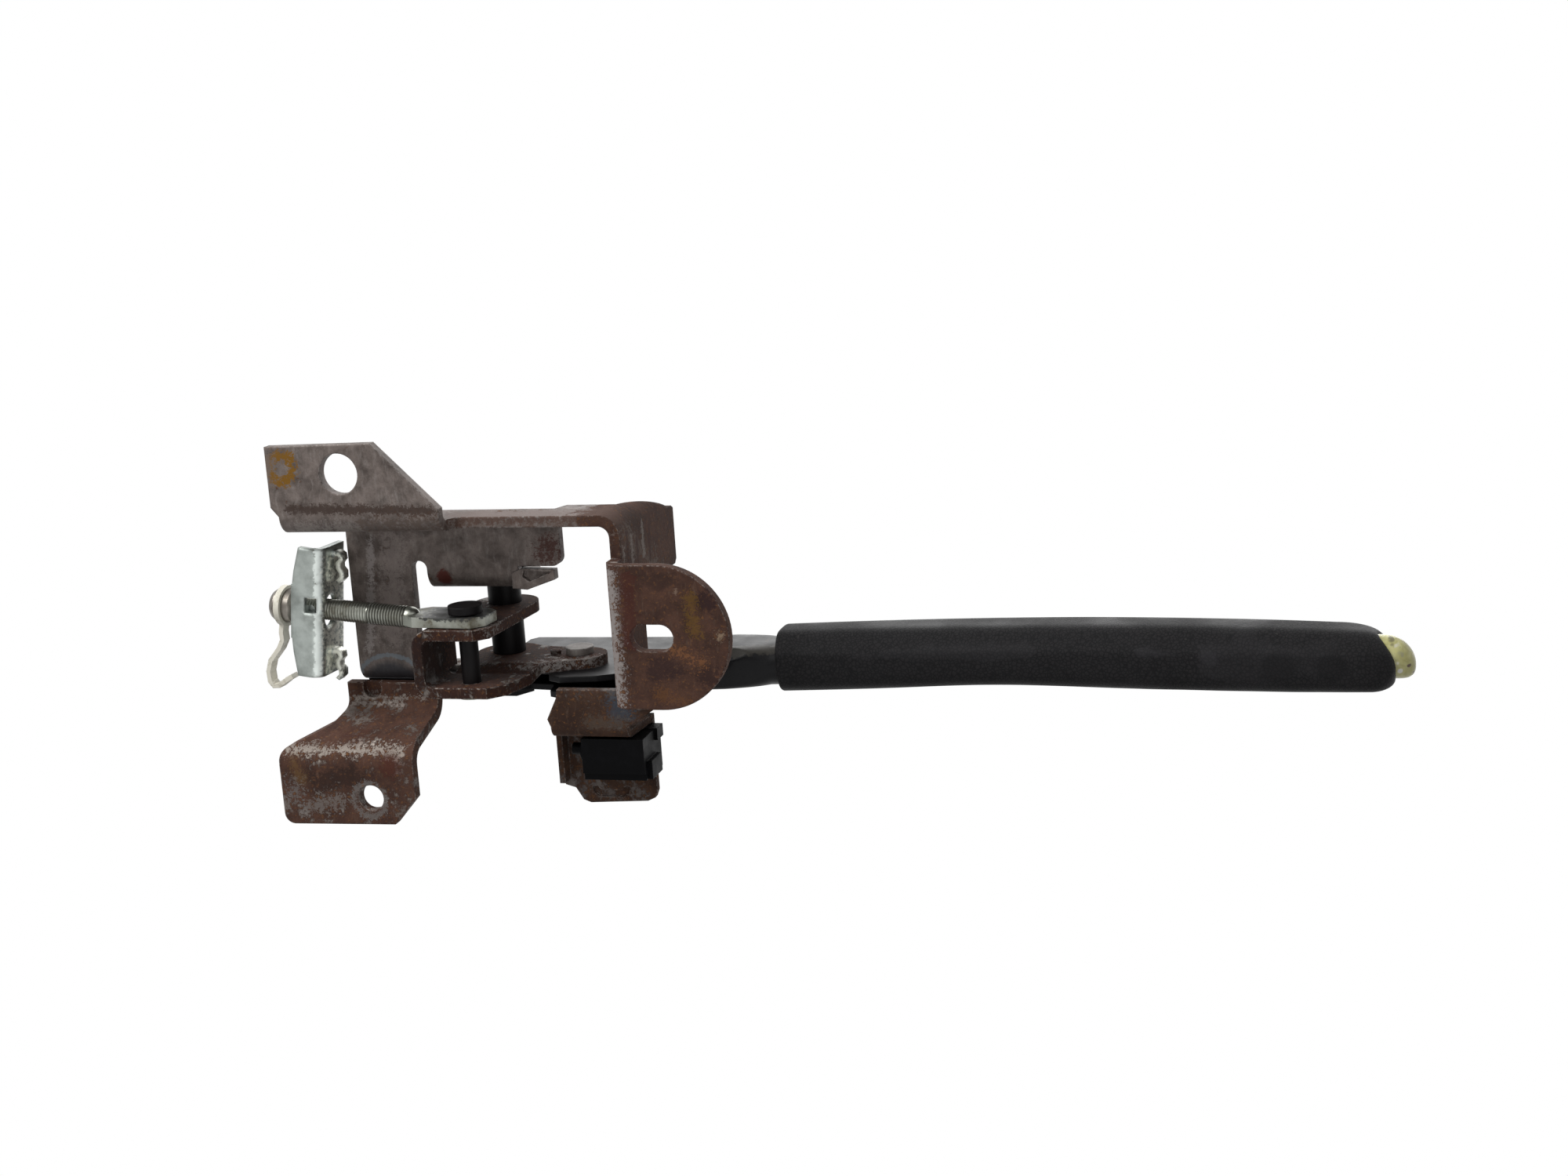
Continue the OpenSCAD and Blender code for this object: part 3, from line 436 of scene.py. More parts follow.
@dataclass(frozen=True)
class GripVinyl(Finish):
    """Soft vinyl with an embossed leather grain: satin charcoal, polished and scuffed by hands."""

    ground: str = "#252425"
    crease: str = "#171718"
    scuff: str = "#403E3D"
    grain_mm: float = 1.2
    marks: tuple[Mark, ...] = ()

    def feed(self, tree: bpy.types.NodeTree) -> dict:
        """Grain cells are Voronoi cells bent by noise; their borders are the creases.

        The real grain is about 0.6 mm wide, too fine to show, so it is drawn coarser.

        Args:
            tree: The material's nodes.

        Returns:
            Feeds of the shader's sockets.
        """
        place = add(tree, "ShaderNodeTexCoord").outputs["Object"]
        bend = add(tree, "ShaderNodeTexNoise", {"Vector": place, "Scale": 1 / (5 * MM), "Detail": 2.0}).outputs[1]
        bend = add(tree, "ShaderNodeVectorMath", {0: bend, 1: (0.0016,) * 3}, operation="MULTIPLY").outputs[0]
        bent = add(tree, "ShaderNodeVectorMath", {0: place, 1: bend}, operation="ADD").outputs[0]
        border = add(tree, "ShaderNodeTexVoronoi", {"Vector": bent, "Scale": 1 / (self.grain_mm * MM)},
                     feature="DISTANCE_TO_EDGE").outputs[0]
        cell = add(tree, "ShaderNodeMapRange", {"Value": border, "From Max": 0.22},
                   interpolation_type="SMOOTHSTEP").outputs[0]
        cloud = add(tree, "ShaderNodeTexNoise", {"Vector": place, "Scale": 1 / (24 * MM), "Detail": 5.0,
                    "Roughness": 0.6}).outputs[0]
        fine = add(tree, "ShaderNodeTexNoise", {"Vector": place, "Scale": 1 / (1.0 * MM), "Detail": 3.0}).outputs[0]
        colour = add(tree, "ShaderNodeMix", {0: cell, 6: linear(self.crease), 7: linear(self.ground)},
                     data_type="RGBA").outputs[2]
        hand = add(tree, "ShaderNodeMath", {0: cloud, 1: fine}, operation="MULTIPLY").outputs[0]
        scuffed = add(tree, "ShaderNodeMapRange", {"Value": hand, "From Min": 0.37, "From Max": 0.46,
                      "To Max": 0.5}).outputs[0]
        colour = add(tree, "ShaderNodeMix", {0: scuffed, 6: colour, 7: linear(self.scuff)},
                     data_type="RGBA").outputs[2]
        for mark in self.marks:
            colour = mark.lay(tree, place, cloud, colour)
        rough = add(tree, "ShaderNodeMapRange", {"Value": cloud, "From Min": 0.35, "From Max": 0.65,
                    "To Min": 0.5, "To Max": 0.68}).outputs[0]
        bump = add(tree, "ShaderNodeBump", {"Strength": 0.3, "Distance": 0.1 * MM, "Height": cell}).outputs[0]
        return {"Base Color": colour, "Roughness": rough, "Normal": bump, "Specular IOR Level": 0.07}


@dataclass(frozen=True)
class MouldedPlastic(Finish):
    """Injection-moulded plastic: even ground, faint mould texture, grime in soft clouds."""

    ground: str = "#050506"
    grime: str = "#0D0D0F"
    rough: tuple[float, float] = (0.38, 0.56)
    grime_from: float = 0.5
    shine: float = 0.05

    def feed(self, tree: bpy.types.NodeTree) -> dict:
        """Grime in clouds of some millimetres over a ground with a fine mould texture.

        Args:
            tree: The material's nodes.

        Returns:
            Feeds of the shader's sockets.
        """
        place = add(tree, "ShaderNodeTexCoord").outputs["Object"]
        cloud = add(tree, "ShaderNodeTexNoise", {"Vector": place, "Scale": 1 / (5 * MM), "Detail": 6.0,
                    "Roughness": 0.7}).outputs[0]
        spark = add(tree, "ShaderNodeTexNoise", {"Vector": place, "Scale": 1 / (0.7 * MM), "Detail": 2.0}).outputs[0]
        grimy = add(tree, "ShaderNodeMapRange", {"Value": cloud, "From Min": self.grime_from,
                    "From Max": self.grime_from + 0.2, "To Max": 0.85}).outputs[0]
        colour = add(tree, "ShaderNodeMix", {0: grimy, 6: linear(self.ground), 7: linear(self.grime)},
                     data_type="RGBA").outputs[2]
        rough = add(tree, "ShaderNodeMapRange", {"Value": cloud, "From Min": 0.35, "From Max": 0.65,
                    "To Min": self.rough[0], "To Max": self.rough[1]}).outputs[0]
        round_edge = add(tree, "ShaderNodeBevel", {"Radius": 0.4 * MM}, samples=4).outputs[0]
        bump = add(tree, "ShaderNodeBump", {"Strength": 0.2, "Distance": 0.05 * MM, "Height": spark,
                   "Normal": round_edge}).outputs[0]
        return {"Base Color": colour, "Roughness": rough, "Normal": bump, "IOR": 1.49,
                "Specular IOR Level": self.shine}


@dataclass(frozen=True)
class CastResin(Finish):
    """Aged clear acrylic, cast: yellow-green, cloudy inside, with brown and pale flecks."""

    pale: str = "#CBC78C"
    deep: str = "#9D9858"
    fleck: str = "#5A4630"
    chip: str = "#DAD6C2"
    marks: tuple[Mark, ...] = ()

    def feed(self, tree: bpy.types.NodeTree) -> dict:
        """Two clouds shade the resin; dark flecks and pale chips are Voronoi cell middles.

        Args:
            tree: The material's nodes.

        Returns:
            Feeds of the shader's sockets.
        """
        place = add(tree, "ShaderNodeTexCoord").outputs["Object"]
        cloud = add(tree, "ShaderNodeTexNoise", {"Vector": place, "Scale": 1 / (5 * MM), "Detail": 4.0,
                    "Distortion": 0.8}).outputs[0]
        murk = add(tree, "ShaderNodeMapRange", {"Value": cloud, "From Min": 0.36, "From Max": 0.66}).outputs[0]
        colour = add(tree, "ShaderNodeMix", {0: murk, 6: linear(self.pale), 7: linear(self.deep)},
                     data_type="RGBA").outputs[2]
        for size, level, tone in ((3.6, 0.20, self.fleck), (4.7, 0.17, self.chip)):
            middle = add(tree, "ShaderNodeTexVoronoi", {"Vector": place, "Scale": 1 / (size * MM),
                         "Randomness": 1.0}).outputs[0]
            spot = add(tree, "ShaderNodeMapRange", {"Value": middle, "From Min": level,
                       "From Max": level * 0.6}).outputs[0]
            colour = add(tree, "ShaderNodeMix", {0: spot, 6: colour, 7: linear(tone)},
                         data_type="RGBA").outputs[2]
        for mark in self.marks:
            colour = mark.lay(tree, place, cloud, colour)
        bump = add(tree, "ShaderNodeBump", {"Strength": 0.15, "Distance": 0.1 * MM, "Height": cloud}).outputs[0]
        return {"Base Color": colour, "Normal": bump, "Roughness": 0.24, "IOR": 1.49,
                "Subsurface Weight": 0.5, "Subsurface Radius": (0.004, 0.004, 0.002),
                "Subsurface Scale": 1.0}


BRACKET_STEEL = PressedSteel("hot_rolled_steel_pressed", lean_gain=0.26, rust_from=0.63, marks=(
    Mark((-19.6, -2.2, 0), 6.4, "#74521B", hollow=0.5, strength=1.0, squeeze=(1.0, 1.0, 2.5), fray=0.3),
    Mark((-25.2, -3.4, 0), 6.2, "#6A605A", strength=0.85, squeeze=(1.0, 1.0, 2.5), fray=0.6),
    # Partly rust, partly painted shade: a dark brown line where the right foot starts its bend.
    Mark((-18, 10.8, 0), 2.0, "#362923", to=(30, 12, 0), strength=0.85, fray=0.7),
    # Painted highlight along the right foot's bend, broken into speckles.
    Mark((-16, 17, 3), 2.6, "#857E79", to=(28, 17, 3), strength=0.6, fray=1.1),
    Mark((8, 17, 4), 5.0, "#46352C", to=(30, 17, 6), strength=0.7, fray=1.1),
    Mark((21.4, 38.6, 25), 3.3, "#4A1F18", strength=0.95, fray=0.2),
    Mark((58.2, 29.3, 24), 5.5, "#3F221C", strength=0.85, fray=0.9),
    # Painted highlight along the fold at the left edge of the strip.
    Mark((-3.1, 26, 24), 1.7, "#938C8A", to=(-7.3, 63, 24), strength=0.7, fray=0.9),
    Mark((4, 27, 24), 5.5, "#857B77", to=(1, 58, 24), strength=0.5, squeeze=(1.0, 1.0, 0.3), fray=0.9),
    Mark((-1, 78, 24), 13.5, "#23262C", strength=0.85, squeeze=(1.0, 1.0, 0.0), fray=0.04),
    Mark((-1, 78, 24), 14.4, "#6A737A", hollow=0.9, strength=0.7, squeeze=(1.0, 1.0, 0.0), fray=0.04),
    # Painted highlight along the D-foot's bend, broken into speckles.
    Mark((86, 33, 2), 3.4, "#8F8885", to=(86, 72, 2), strength=0.9, fray=1.0),
    Mark((87.5, 24, 16), 4.0, "#766860", to=(87.5, 38, 40), strength=0.65, squeeze=(1.0, 1.0, 0.5), fray=1.6),
    *(Mark((87.5, 23.0 + 2 * (k % 3), depth), 1.3, tone, to=(87.5, 33.0 + 2 * (k % 2), depth), strength=0.8,
           squeeze=(0.3, 1.0, 1.0), fray=1.0)
      for k, (depth, tone) in enumerate(zip((5, 8.5, 12, 16, 20, 25, 31, 37), ("#8F857F", "#351C17") * 4))),
    Mark((34, 16, 14), 9.0, "#4B362D", to=(84, 16, 14), strength=0.8, squeeze=(1.0, 2.0, 1.0), fray=0.5),
    Mark((92.2, 33.9, 0), 3.0, "#47231C", to=(91.6, 53.7, 0), strength=0.6, fray=0.7),
    Mark((116.5, 41.0, 0), 4.2, "#2A1A1B", strength=0.8, fray=0.4),
    Mark((99.5, 62.6, 0), 4.2, "#30201F", to=(104.1, 61.3, 0), strength=0.75, fray=0.5),
    Mark((115.9, 64.1, 0), 4.4, "#2E1E1C", strength=0.75, fray=0.5),
    Mark((99.6, 35.8, 0), 3.6, "#33231E", to=(106.2, 33.9, 0), strength=0.4, fray=0.6),
    Mark((105.8, 56.2, 0), 2.0, "#8E5F3C", to=(113.7, 59.6, 0), strength=0.5, fray=2.0),
    Mark((107.3, 37.6, 0), 1.1, "#8A7566", strength=0.6, fray=0.9),
    Mark((111.5, 40, 0), 2.6, "#7A5A24", to=(113.0, 50.0, 0), strength=0.42, fray=1.2),
    Mark((108, 72, 0), 3.0, "#6F4A2C", to=(101, 70, 0), strength=0.5, fray=1.4),
    Mark((120.4, 51.5, 0), 1.6, "#94806A", strength=0.7, fray=1.4),
))
FOOT_STEEL = PressedSteel("hot_rolled_steel_rusted", bare="#6F6660", scale="#463A35", rust_from=0.47, wear=0.85,
                          marks=(
    Mark((-24, 79.2, 24), 0.9, "#8C837C", to=(10, 79.2, 24), strength=0.75, fray=1.6),
    # Painted highlight along the left foot's bend, broken into speckles.
    Mark((-29, 90.5, 2), 2.0, "#A2988F", to=(11, 90.5, 2), strength=0.85, fray=1.6),
    Mark((6.8, 95.0, 0), 4.6, "#4C251C", strength=0.65, fray=0.6),
    Mark((-16.9, 100.9, 0), 4.6, "#2B1D18", to=(-6.0, 98.9, 0), strength=0.7, fray=0.6),
    Mark((-26.8, 94.3, 0), 2.6, "#6E5230", to=(-24.8, 100.2, 0), strength=0.5, fray=1.0),
    Mark((-23.2, 109.2, 0), 3.4, "#7C746F", to=(-12.2, 106.7, 0), strength=0.65, fray=1.4),
    Mark((-26.2, 88.9, 9), 2.4, "#43241B", to=(-4.5, 87.5, 9), strength=0.5, fray=1.0),
    Mark((-27.9, 105.3, 0), 5.0, "#6C6562", strength=0.8, fray=1.2),
    Mark((-1.4, 106.8, 0), 6.8, "#716C69", hollow=0.72, strength=0.7, fray=0.2),
))
# The rust and umber are darker than on the other steels: partly rust, partly painted shade for the crank's web.
CRANK_STEEL = PressedSteel("sheet_steel_crank_rusted_and_shaded", bare="#6E6762", scale="#3E3430", rust="#281712",
                           umber="#40271E", rust_from=0.45, wear=0.95, scuff="#B5AEA8", patch_mm=12.0, marks=(
    Mark((44, 69, 27), 3.2, "#97918D", to=(66, 70, 36), strength=0.8, squeeze=(1.0, 0.6, 1.0), fray=1.5),
    # Painted shade: a near-black patch on the web inside the crank's channel.
    Mark((19, 57, 11), 5.0, "#170B09", to=(18, 67, 11), strength=0.7, squeeze=(1.0, 1.0, 0.3), fray=0.3),
    Mark((40, 51.2, 9), 2.4, "#8A8480", to=(48, 51.2, 20), strength=0.8, squeeze=(1.0, 0.6, 1.0), fray=1.5),
))
SWITCH_STEEL = PressedSteel("sheet_steel_bracket_rusted", bare="#57504C", scale="#3A3130", rust="#35251D",
                            umber="#4D372B", rust_from=0.5, wear=0.8, marks=(
    Mark((79.8, 80.3, 18), 6.0, "#39424D", strength=0.7, fray=0.6),
    Mark((70, 84.5, 18), 3.0, "#51453C", to=(80, 85, 18), strength=0.6, fray=1.0),
))
RIVET_STEEL = PressedSteel("steel_rivet_worn", bare="#7C7772", scale="#5A5450", rust_from=0.6, patch_mm=9.0)
LEVER_PAINT = BlackEnamel("black_enamel_stoved", marks=(
    # Painted highlight: a smooth grey band along the neck's lower fold.
    Mark((104, 70.4, 48.3), 3.5, "#3F3C37", to=(124, 68.0, 53), strength=0.85, squeeze=(0.6, 1.0, 1.0), fray=0.1),
    Mark((112, 69.2, 50), 0.5, "#2A211B", to=(117, 68.6, 50.5), strength=0.8, squeeze=(1.0, 1.0, 1.0), fray=0.8),
    Mark((118, 68.2, 62), 0.5, "#2A211B", to=(119, 68.2, 55), strength=0.8, squeeze=(1.0, 1.0, 1.0), fray=0.8),
))
OXIDE = BlackEnamel("black_oxide_steel", ground="#0D0B0C", dust="#1D1919", worn="#4A4542", wear=0.3, shine=0.1)
# The lean darkens the front flange, from X -18.5 to -15.5 mm, as painted shade mixed into the olive stains.
ZINC = ZincPlate("zinc_plate_blue_passivated", stain="#75756B", stain_from=0.6, lean_gain=0.1, edge_mm=1.7, marks=(
    # Painted highlights: a thin bright band along the bend between face and flange, and a broad bright streak across
    # the face.
    Mark((-14.6, 26.4, 9), 1.5, "#CBD1CD", to=(-19.7, 68, 9.4), strength=0.75, fray=0.25),
    Mark((-11.5, 32, 15), 4.6, "#DDDDD2", to=(-16, 66, 15), strength=0.8, squeeze=(1.6, 1.0, 0.4), fray=0.3),
))
WIRE_ZINC = ZincPlate("zinc_plate_aged", bright="#95978F", cloud="#6E6D63", stain="#5A5546", stain_from=0.52,
                      edge_mm=0.1)
ROD_ZINC = RolledThread("zinc_plate_on_rolled_thread", bright="#95978F", cloud="#6E6D63", stain="#5A5546",
                        stain_from=0.52, edge_mm=0.1, marks=(
    # Painted shade: darkens the rod the nearer its surface lies to the axis, so the thread's roots read dark.
    Mark((0.5, 48.2, 14.3), 3.6, "#2E2B24", to=(-50.6, 44.6, 17.84), strength=0.95,
         squeeze=(1.0, 1.0, 1.0), fray=0.0),
    # Painted dark reflection on the eye's top face.
    Mark((31, 47.2, 12), 5.0, "#2E2E2F", strength=0.88, squeeze=(0.3, 3.0, 0.3), fray=0.2),
))
NUT_STEEL = ZincPlate("phosphated_steel_nut", bright="#807B74", cloud="#56514B", stain="#463A30", stain_from=0.54)
VINYL = GripVinyl("vinyl_leather_grain", marks=(
    Mark((291, 72, 46), 9.0, "#333234", to=(262, 71, 48), strength=0.22, squeeze=(1.0, 1.0, 0.25), fray=0.6),
    Mark((284, 74, 46.5), 7.0, "#131314", strength=0.5, squeeze=(1.0, 1.0, 0.25), fray=0.4),
    Mark((299, 74, 45.5), 6.2, "#131314", strength=0.5, squeeze=(1.0, 1.0, 0.25), fray=0.4),
    Mark((240, 70, 50), 2.2, "#38373A", to=(262, 71, 48.5), strength=0.3, squeeze=(1.0, 1.0, 0.2), fray=0.8),
    Mark((150, 71, 49), 1.8, "#333234", to=(205, 70, 52), strength=0.25, squeeze=(1.0, 1.0, 0.2), fray=0.8),
))
SWITCH_PLASTIC = MouldedPlastic("polyamide_black_moulded")
CLIP_PLASTIC = MouldedPlastic("polyamide_ivory_moulded", ground="#DDD9CB", grime="#8F866F", grime_from=0.52,
                              shine=0.4)
RESIN = CastResin("acrylic_cast_aged", marks=(
    Mark((321.8, 74.6, 55.5), 1.2, "#4A3022", strength=0.95, fray=0.3),
    Mark((318.9, 76.1, 55.5), 1.1, "#E4E2DA", strength=0.9, fray=0.3),
    Mark((316.6, 66.6, 56.0), 1.3, "#5C573C", strength=0.8, fray=0.5),
    Mark((318.0, 67.8, 55.5), 0.9, "#E0DDCE", strength=0.8, fray=0.4),
    Mark((319.6, 71.1, 55.5), 1.5, "#8E8C74", strength=0.7, fray=0.5),
))


def dress(finish: Finish, *nodes: str) -> None:
    """Gives CAD nodes a finish.

    Args:
        finish: The finish that covers the nodes.
        *nodes: Names of CAD nodes.
    """
    for name in nodes:
        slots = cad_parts[name].data.materials
        slots.clear()
        slots.append(finish.material())
        LOG.info("dressed %s in %s", name, finish.name)


def skin(name: str, points: np.ndarray, finish: Finish, caps: bool = False) -> bpy.types.Object:
    """Makes a piece from a grid of points that closes round its second parameter.

    Args:
        name: The piece's name.
        points: Rows along the piece, columns round it, XYZ in mm.
        finish: The piece's finish.
        caps: Whether the first and last rows are closed by a face.

    Returns:
        The piece, at the origin, with its place in its mesh.
    """
    rows, cols = points.shape[:2]
    first = np.arange(rows * cols).reshape(rows, cols)
    after = np.roll(first, -1, axis=1)
    quads = np.stack([first[:-1], after[:-1], after[1:], first[1:]], axis=-1).reshape(-1, 4)
    faces = quads.tolist()
    if caps:
        faces += [first[0][::-1].tolist(), first[-1].tolist()]
    mesh = bpy.data.meshes.new(name)
    mesh.from_pydata((points.reshape(-1, 3) * MM).tolist(), [], faces)
    mesh.shade_smooth()
    mesh.materials.append(finish.material())
    piece = bpy.data.objects.new(name, mesh)
    bpy.context.collection.objects.link(piece)
    LOG.info("built %s with %d faces", name, len(faces))
    return piece


@dataclass
class Grip:
    """The moulded hand grip on the lever's arched tube, sizes in mm."""

    x_rear: float = 122.6
    x_front: float = 317.6
    arch_x: float = 220.0
    arch_z: float = 66.5
    arch_r: float = 800.0
    rear_y: float = 74.2
    front_y: float = 73.6
    drift_run: float = 100.0
    half_y: float = 10.0
    half_z: float = 12.9
    swell_x: float = 112.0
    swell_run: float = 215.0
    swell_y: float = 0.35
    swell_z: float = 1.2
    taper_x: float = 270.0
    taper_run: float = 45.0
    taper_shift: float = 0.35
    taper_side: float = 0.7
    wall: float = 2.2
    corner: float = 3.2
    palm: float = 1.1
    waist: float = 1.3
    waist_x: float = 194.0
    waist_run: float = 32.0
    finger: float = 0.35
    finger_x: float = 243.0
    finger_pitch: float = 22.0
    finger_rear: float = 232.0
    finger_front: float = 303.0
    finger_fade: float = 8.0
    shoulder_x: float = 310.3
    shoulder_back: float = 10.8
    rim_back: float = 5.2
    lip_back: float = 1.4
    tuck: float = 8.0
    hole: tuple[float, float] = (72.85, 61.2)
    hole_half: tuple[float, float] = (7.0, 6.5)
    hole_deep: float = 6.0

    def centre(self, x: np.ndarray) -> np.ndarray:
        """Height of the tube's middle: a circle arc about the arch's centre."""
        return self.arch_z - self.arch_r + np.sqrt(self.arch_r ** 2 - (x - self.arch_x) ** 2)

    def section(self, x: np.ndarray, t: np.ndarray, inset: np.ndarray) -> tuple[np.ndarray, np.ndarray]:
        """Points of the grip's section, a superellipse that swells as a sine along the grip.

        Its power falls towards the middle of the lower right quarter, which is rounder.
        Its left side is drawn in a little towards the front and, as a bell curve, at a
        waist. A cosine along the underside gives the worn rests of three fingers.

        Args:
            x: Places along the lever.
            t: Angles round the section, 0 on its left side.
            inset: How far inside the skin the points lie.

        Returns:
            Their Y and Z.
        """
        swell = np.sin(np.pi * np.clip((x - self.swell_x) / self.swell_run, 0, 1))
        under = 2 * np.clip(-np.cos(t), 0, 1) * np.clip(-np.sin(t), 0, 1)
        power = 2 / (self.corner - self.palm * under)
        drift = np.clip((x - self.x_rear) / self.drift_run, 0, 1)
        taper = np.clip((x - self.taper_x) / self.taper_run, 0, 1) ** 2
        y = self.rear_y + (self.front_y - self.rear_y) * drift - self.taper_shift * taper
        waist = self.waist * np.exp(-((x - self.waist_x) / self.waist_run) ** 2) * (np.cos(t) > 0)
        half_y = self.half_y + self.swell_y * swell - self.taper_side * taper - waist - inset
        y = y + half_y * np.sign(np.cos(t)) * np.abs(np.cos(t)) ** power
        finger = (np.clip((x - self.finger_rear) / self.finger_fade, 0, 1)
                  * np.clip((self.finger_front - x) / self.finger_fade, 0, 1))
        finger = (self.finger * finger * np.cos(2 * np.pi * (x - self.finger_x) / self.finger_pitch)
                  * np.clip(-np.sin(t), 0, 1))
        half_z = self.half_z + self.swell_z * swell + finger - inset
        z = self.centre(x) + half_z * np.sign(np.sin(t)) * np.abs(np.sin(t)) ** power
        return y, z

    def points(self) -> np.ndarray:
        """Carries the section along the arch and closes it over the front.

        The profile comes out of the sleeve, rolls round the rear lip as a half circle and
        runs to a shoulder. Lip and shoulder both lie further back on the right side. From
        the shoulder quarter ellipses lead to the rim of the button's hole and into it.

        Returns:
            The grid of points.
        """
        t = np.linspace(0.0, 2 * np.pi, 112, endpoint=False)[None, :]
        right = (1 - np.cos(t)) / 2
        shoulder = self.shoulder_x - self.shoulder_back * right ** 1.2
        rim = self.x_front - self.rim_back * np.clip((0.4 - np.cos(t)) / 1.4, 0, 1) ** 2
        rear = self.x_rear + self.lip_back * (1 - right ** 2)
        half = self.wall / 2
        roll = np.linspace(-np.pi / 2, np.pi / 2, 14)[:, None]
        run = np.linspace(0.0, 1.0, 90)[1:, None]
        bow = np.linspace(0.0, np.pi / 2, 22)[1:, None]
        lip = rear + half
        x = np.concatenate([rear + self.tuck, lip - half * np.cos(roll) + 0 * t,
                            lip + run * (shoulder - lip)])
        inset = np.concatenate([[[self.wall]], half - half * np.sin(roll), 0 * run])
        y, z = self.section(x, t, inset)
        hole_y = self.hole[0] + self.hole_half[0] * np.cos(t)
        hole_z = self.hole[1] + self.hole_half[1] * np.sin(t)
        fall = 1 - np.cos(bow)
        x = np.concatenate([x, shoulder + (rim - shoulder) * np.sin(bow), rim - 0.5, rim - self.hole_deep])
        y = np.concatenate([y, y[-1:] + (hole_y - y[-1:]) * fall, hole_y, hole_y])
        z = np.concatenate([z, z[-1:] + (hole_z - z[-1:]) * fall, hole_z, hole_z])
        return np.stack([x, y, z], axis=-1)

    def build(self) -> None:
        """Makes the skin, in place of the CAD sleeve."""
        piece = skin("grip_skin", self.points(), VINYL)
        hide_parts("grip")
        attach(piece, Body.LEVER.value)


@dataclass
class ReleaseButton:
    """The cast button in the grip's front end, sizes in mm."""

    x_rear: float = 306.0
    x_tip: float = 323.7
    tip_y: float = 75.0
    right: float = 9.0
    left: float = 4.7
    z: float = 61.2
    half_z: float = 6.3
    nose_x: float = 312.0
    slope_x: float = 314.5
    turn_x: float = 318.0
    tip_half: float = 0.02

    @staticmethod
    def fade(x: np.ndarray, start: float, end: float, power: float) -> np.ndarray:
        """Falls from 1 at start to 0 at end as a superellipse of the given power."""
        return np.clip(1 - np.clip((x - start) / (end - start), 0, 1) ** power, 0, 1) ** (1 / power)

    def points(self) -> np.ndarray:
        """Elliptic rings whose sides fade to the tip.

        The right side slopes back over its whole free length, the left side stays
        straight and turns in near the tip, so that the nose points left.

        Returns:
            The grid of points.
        """
        nose = np.sin(np.linspace(0, np.pi / 2, 40))
        x = np.concatenate([[self.x_rear], self.nose_x + (self.x_tip - self.nose_x) * nose])[:, None]
        low = self.tip_y - self.right * self.fade(x, self.slope_x, self.x_tip, 1.9)
        high = self.tip_y + self.left * self.fade(x, self.turn_x, self.x_tip, 3.0)
        t = np.linspace(0, 2 * np.pi, 56, endpoint=False)[None, :]
        reach = np.maximum((high - low) / 2, self.tip_half)
        y = (high + low) / 2 + reach * np.cos(t)
        thick = np.maximum(self.half_z * self.fade(x, self.nose_x, self.x_tip, 2.6), self.tip_half)
        z = self.z + thick * np.sin(t)
        return np.stack([x + 0 * t, y, z], axis=-1)

    def build(self) -> None:
        """Makes the button, in place of the CAD turning."""
        piece = skin("release_button_cast", self.points(), RESIN, caps=True)
        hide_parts("release_button")
        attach(piece, Body.BUTTON.value)


@dataclass
class LeverNeck:
    """The folded neck where the lever's channel closes to the tube, sizes in mm."""

    x_rear: float = 97.0
    x_front: float = 127.0
    y: float = 75.2
    half_y: float = 6.9
    half_z: float = 12.3
    round_power: float = 2.6
    box_power: float = 5.0
    box_x: float = 121.0
    box_run: float = 15.0
    chamfer: float = 15.0
    chamfer_out: float = 4.2
    chamfer_x: float = 107.0
    chamfer_run: float = 16.0
    arch: Grip = field(default_factory=Grip)

    def points(self) -> np.ndarray:
        """A superellipse along the arch whose power falls forward.

        It is boxy at the channel and rounder at the grip. Points past a slanting plane
        over the lower right corner are moved squarely onto it; the plane leaves the
        corner towards the grip, so its lower fold runs slanting along the neck.

        Returns:
            The grid of points.
        """
        x = np.linspace(self.x_rear, self.x_front, 40)[:, None]
        t = np.linspace(0, 2 * np.pi, 96, endpoint=False)[None, :]
        power = 2 / (self.round_power + self.box_power * np.clip((self.box_x - x) / self.box_run, 0, 1))
        side = self.half_y * np.sign(np.cos(t)) * np.abs(np.cos(t)) ** power
        rise = self.half_z * np.sign(np.sin(t)) * np.abs(np.sin(t)) ** power
        plane = self.chamfer + self.chamfer_out * np.clip((x - self.chamfer_x) / self.chamfer_run, 0, 1)
        past = np.clip(-side - rise - plane, 0, None) / 2
        return np.stack([x + 0 * t, self.y + side + past, self.arch.centre(x) + rise + past], axis=-1)

    def build(self) -> None:
        """Makes the neck over the CAD tube."""
        piece = skin("lever_neck", self.points(), LEVER_PAINT, caps=True)
        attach(piece, Body.LEVER.value)


@dataclass
class Bracket:
    """The pressed floor bracket with its feet, sector and pivot bolt."""

    def build(self) -> None:
        """Dresses the bracket's pressings and fasteners."""
        dress(BRACKET_STEEL, "main_bracket")
        dress(FOOT_STEEL, "left_foot")
        dress(OXIDE, "sector_plate", "pivot_bolt", "pivot_nut")
        dress(RIVET_STEEL, "sector_rivet_rear", "sector_rivet_front")


@dataclass
class LampSwitch:
    """The warning-lamp switch on its bracket."""

    def build(self) -> None:
        """Dresses the switch and its bracket."""
        dress(SWITCH_STEEL, "switch_bracket")
        dress(SWITCH_PLASTIC, "switch_body", "switch_plunger")
        dress(RIVET_STEEL, "switch_rivet")


